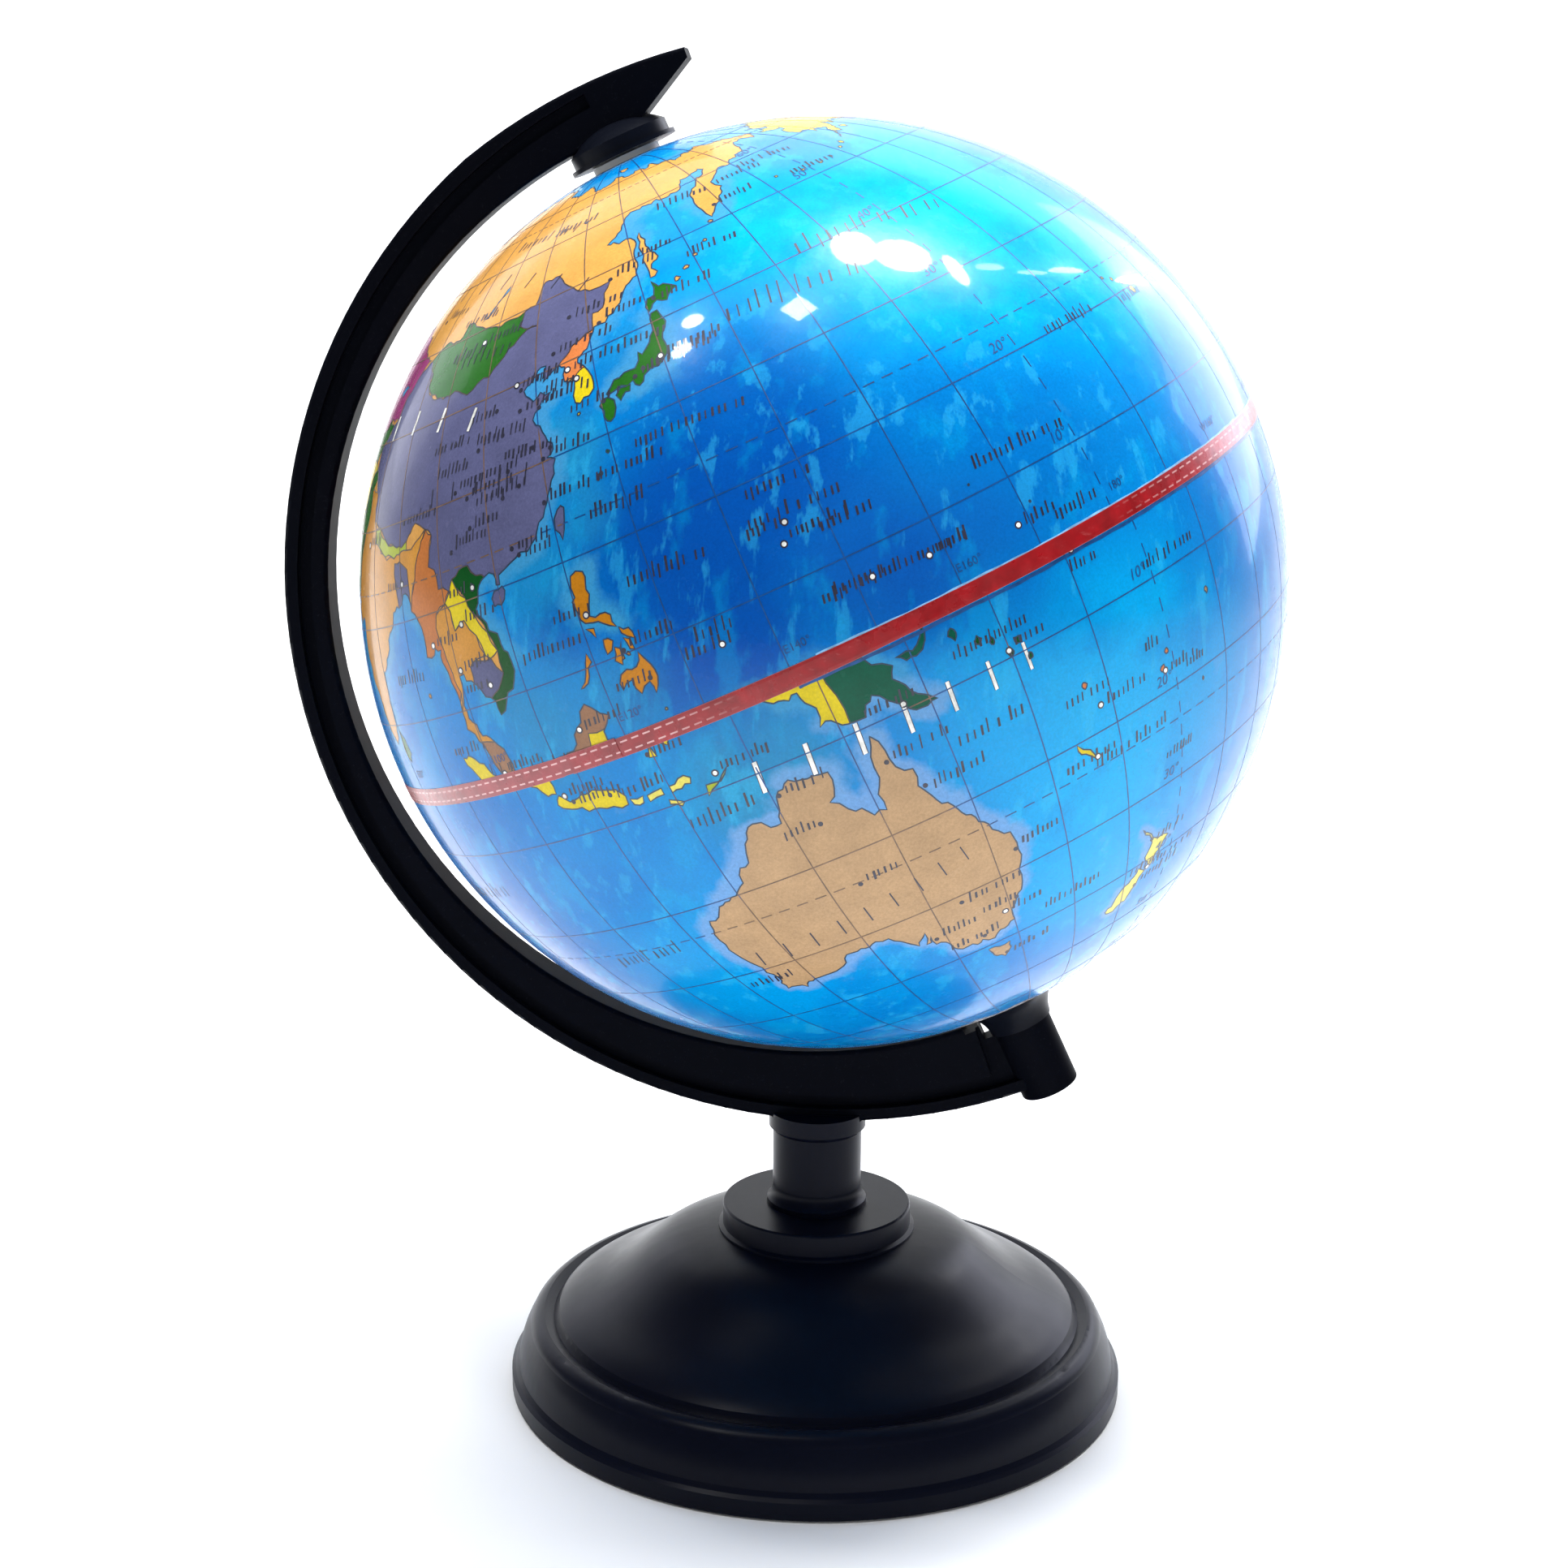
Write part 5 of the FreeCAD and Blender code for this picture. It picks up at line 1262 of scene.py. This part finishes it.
def make_tape():
    """One strip of tape wound once round the equator, its end lapped over its start."""
    verts, faces, uvs, faded, inked = [], [], [], [], []
    across = [-1 + 2 * j / TAPE_ROWS for j in range(TAPE_ROWS + 1)]
    for i in range(TAPE_STEPS + 1):
        run = (360 + TAPE_LAP) * i / TAPE_STEPS
        lon = TAPE_END_LON + run
        turn = math.radians(lon - SIDE_LON)
        rise = min(1.0, max(0.0, (run - (360 - CLIMB)) / CLIMB))
        wave = 0.10 * math.sin(turn * 5 + 0.7) + 0.07 * math.sin(turn * 13)
        half = TAPE_HALF * (1 - 0.035 - 0.02 * math.sin(turn * 9))
        top = TAPE_OVER + rise * LAP_OVER
        for r in (top, TAPE_UNDER + rise * LAP_UNDER):
            for a in across:
                z = (a * half + wave * 0.5 + tape_drift(run)) * MM
                z = max(-TAPE_HALF * MM, min(TAPE_HALF * MM, z))
                lip = LIP if abs(a) > 0.99 and r == top else 0.0
                radius = BALL_R + (r - lip) * MM
                verts.append(CENTRE + around(turn, math.asin(z / radius)) * radius)
                uvs.append((math.radians(run) * BALL_R / DASH_RUN, a))
                faded.append(np.interp(lon % 360, FADED_AT, FADED))
                inked.append(np.interp(lon % 360, INKED_AT, INKED))
    n = TAPE_ROWS + 1
    for i in range(TAPE_STEPS):
        a, b = i * 2 * n, (i + 1) * 2 * n
        for j in range(TAPE_ROWS):
            faces.append((a + j, b + j, b + j + 1, a + j + 1))
            faces.append((a + n + j, a + n + j + 1, b + n + j + 1, b + n + j))
        faces.append((a, a + n, b + n, b))
        faces.append((a + n - 1, b + n - 1, b + 2 * n - 1, a + 2 * n - 1))
    for end, flip in ((0, 1), (TAPE_STEPS * 2 * n, -1)):
        for j in range(TAPE_ROWS):
            faces.append((end + j, end + j + 1, end + n + j + 1, end + n + j)[::flip])
    o = solid_mesh("equator_band", verts, faces, RED_TAPE)
    me = o.data
    layer = me.uv_layers.new(name="tape_run")
    for loop in me.loops:
        layer.data[loop.index].uv = uvs[loop.vertex_index]
    me.attributes.new("faded", "FLOAT", "POINT").data.foreach_set("value", faded)
    me.attributes.new("dash_ink", "FLOAT", "POINT").data.foreach_set("value", inked)
    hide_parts("equator_tape")
    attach(o, "globe")


# ---- stand -----------------------------------------------------------------------------------
def dress_nodes():
    for material, names in (
            (ARM_BLACK, "arm base_cover"),
            (CAP_BLACK, "north_cap north_washer south_cup"),
            (BASE_BLACK, "neck_ring neck_post base_shell"),
            (FELT, "base_pad"),
            (BALLAST, "base_weight"),
            (STEEL, "north_pin south_pin tie_bolt tie_bolt_washer cover_screws"),
            (INNER, "north_bush south_bush equator_joint_ring")):
        for name in names.split():
            slots = node[name].data.materials
            slots.clear()
            slots.append(material)


# ---- floor, light and camera -----------------------------------------------------------------
PALE_FLOOR = (0.92, 0.92, 0.925)
FLOOR_FRONT, FLOOR_SIDE, WALL_TOP = -3.0, 4.0, 3.2      # metres
BEND_START, BEND_R, BEND_STEPS = 1.1, 0.8, 12


def make_floor():
    """A pale floor that bends up into a wall behind the object."""
    m, t, s = new_material("floor", PALE_FLOOR, 0.6)
    finish(t, s, clouded(t, PALE_FLOOR, 3, 0.98, 1.02, 2.0), 0.6)
    profile = [(FLOOR_FRONT, 0.0), (BEND_START, 0.0)]
    for k in range(1, BEND_STEPS + 1):
        a = math.radians(90 * k / BEND_STEPS)
        profile.append((BEND_START + BEND_R * math.sin(a), BEND_R - BEND_R * math.cos(a)))
    profile.append((BEND_START + BEND_R, WALL_TOP))
    verts = [(x, y, z) for y, z in profile for x in (-FLOOR_SIDE, FLOOR_SIDE)]
    faces = [(2 * i, 2 * i + 1, 2 * i + 3, 2 * i + 2) for i in range(len(profile) - 1)]
    o = solid_mesh("floor", verts, faces, m)
    o.data.shade_smooth()


def lamp(name, place, target, size, power, colour=(1, 1, 1), across=(1, 0, 0)):
    """A rectangular lamp facing its target, its first side lying along the given direction."""
    light = bpy.data.lights.new(name, "AREA")
    light.shape = "RECTANGLE"
    light.size, light.size_y = size
    light.energy = power
    light.color = colour
    back = (Vector(place) - Vector(target)).normalized()
    side = Vector(across) - back * back.dot(Vector(across))
    side.normalize()
    turn = Matrix((side, back.cross(side), back)).transposed().to_4x4()
    turn.translation = place
    o = bpy.data.objects.new(name, light)
    o.matrix_world = turn
    bpy.context.scene.collection.objects.link(o)
    return o


# lamps behind the object that only show as sheen: name, place, size in metres, watts
RIM_LAMPS = (("left_rim", (-1.2, 1.3, 0.75), (1.1, 0.8), 2.6),
             ("right_rim", (1.2, 1.3, 0.75), (1.3, 1.0), 18))
# glare lamps: name, direction from the ball, size in metres, watts, direction of the first side
GLARE_LAMPS = (("overhead_a", (0.078, 0.055, 0.995), (0.203, 0.283), 10.8, (0.98, 0.20, -0.09)),
               ("overhead_b", (0.220, 0.062, 0.974), (0.263, 0.254), 12.6, (0.87, 0.43, -0.23)),
               ("overhead_c", (0.374, 0.077, 0.924), (0.088, 0.217), 3.6, (0.70, 0.62, -0.35)),
               ("streak_a", (0.445, 0.175, 0.878), (0.161, 0.046), 0.5, (0.54, 0.72, -0.44)),
               ("streak_b", (0.530, 0.276, 0.802), (0.194, 0.026), 0.3, (0.33, 0.79, -0.52)),
               ("streak_c", (0.560, 0.412, 0.718), (0.262, 0.032), 0.7, (0.11, 0.80, -0.58)),
               ("streak_d", (0.554, 0.668, 0.497), (0.383, 0.030), 1.1, (-0.31, 0.69, -0.65)),
               ("overhead_near", (-0.076, -0.261, 0.962), (0.13, 0.13), 4, (1, 1, 0)),
               ("front_small_a", (-0.414, -0.211, 0.885), (0.11, 0.09), 2.2, (1, 0, 0)),
               ("front_small_b", (-0.458, -0.314, 0.832), (0.12, 0.08), 2.2, (1, 0.3, 0)))
GLARE_REACH = 1.5
# soft lamps that leave no glare: name, place, target, size in metres, watts
SOFT_LAMPS = (("back_wash", (0.0, 0.9, 2.6), (0, 1.7, 0.2), (3.2, 0.6), 66),
              ("floor_wash", (0.0, -0.3, 2.6), (0, 0.5, 0.0), (1.6, 0.16), 16),
              ("back_left_wash", (-1.3, 1.2, 1.3), (-0.4, 0.5, 0), (0.8, 0.8), 12),
              ("front_fill", (1.0, -2.3, 1.0), CENTRE, (2.5, 1.6), 16.5))


def make_light():
    world = bpy.data.worlds.new("studio")
    bpy.context.scene.world = world
    world.use_nodes = True
    back = world.node_tree.nodes["Background"]
    back.inputs["Color"].default_value = (0.93, 0.95, 1.0, 1)
    back.inputs["Strength"].default_value = 0.1
    for name, place, size, power in RIM_LAMPS:
        light = lamp(name, place, (0, 0, 0.05), size, power, (0.82, 0.84, 1))
        light.visible_diffuse = False
    for name, way, size, power, across in GLARE_LAMPS:
        place = CENTRE + Vector(way) * GLARE_REACH
        light = lamp(name, place, CENTRE, size, power, across=across)
        light.data.shape = "RECTANGLE" if name == "overhead_near" else "ELLIPSE"
    for name, place, target, size, power in SOFT_LAMPS:
        lamp(name, place, target, size, power, (0.96, 0.98, 1)).visible_glossy = False


def make_camera():
    camera = bpy.data.cameras.new("camera")
    camera.lens = 60.44
    camera.sensor_width = 36.0
    right = Vector((0.9981, 0.0608, 0.0068))
    up = Vector((-0.0207, 0.2312, 0.9727))
    back = right.cross(up).normalized()
    up = back.cross(right).normalized()
    place = Matrix((right, up, back)).transposed().to_4x4()
    place.translation = Vector((0.02553, -0.5689, 0.27775))
    o = linked("camera", camera)
    o.matrix_world = place
    bpy.context.scene.camera = o


make_print()
make_lines()
make_town_marks()
make_tick_rows()
make_wide_rows()
make_numbers()
make_tape()
dress_nodes()
make_floor()
make_light()
make_camera()
bpy.context.scene.view_settings.view_transform = "Standard"
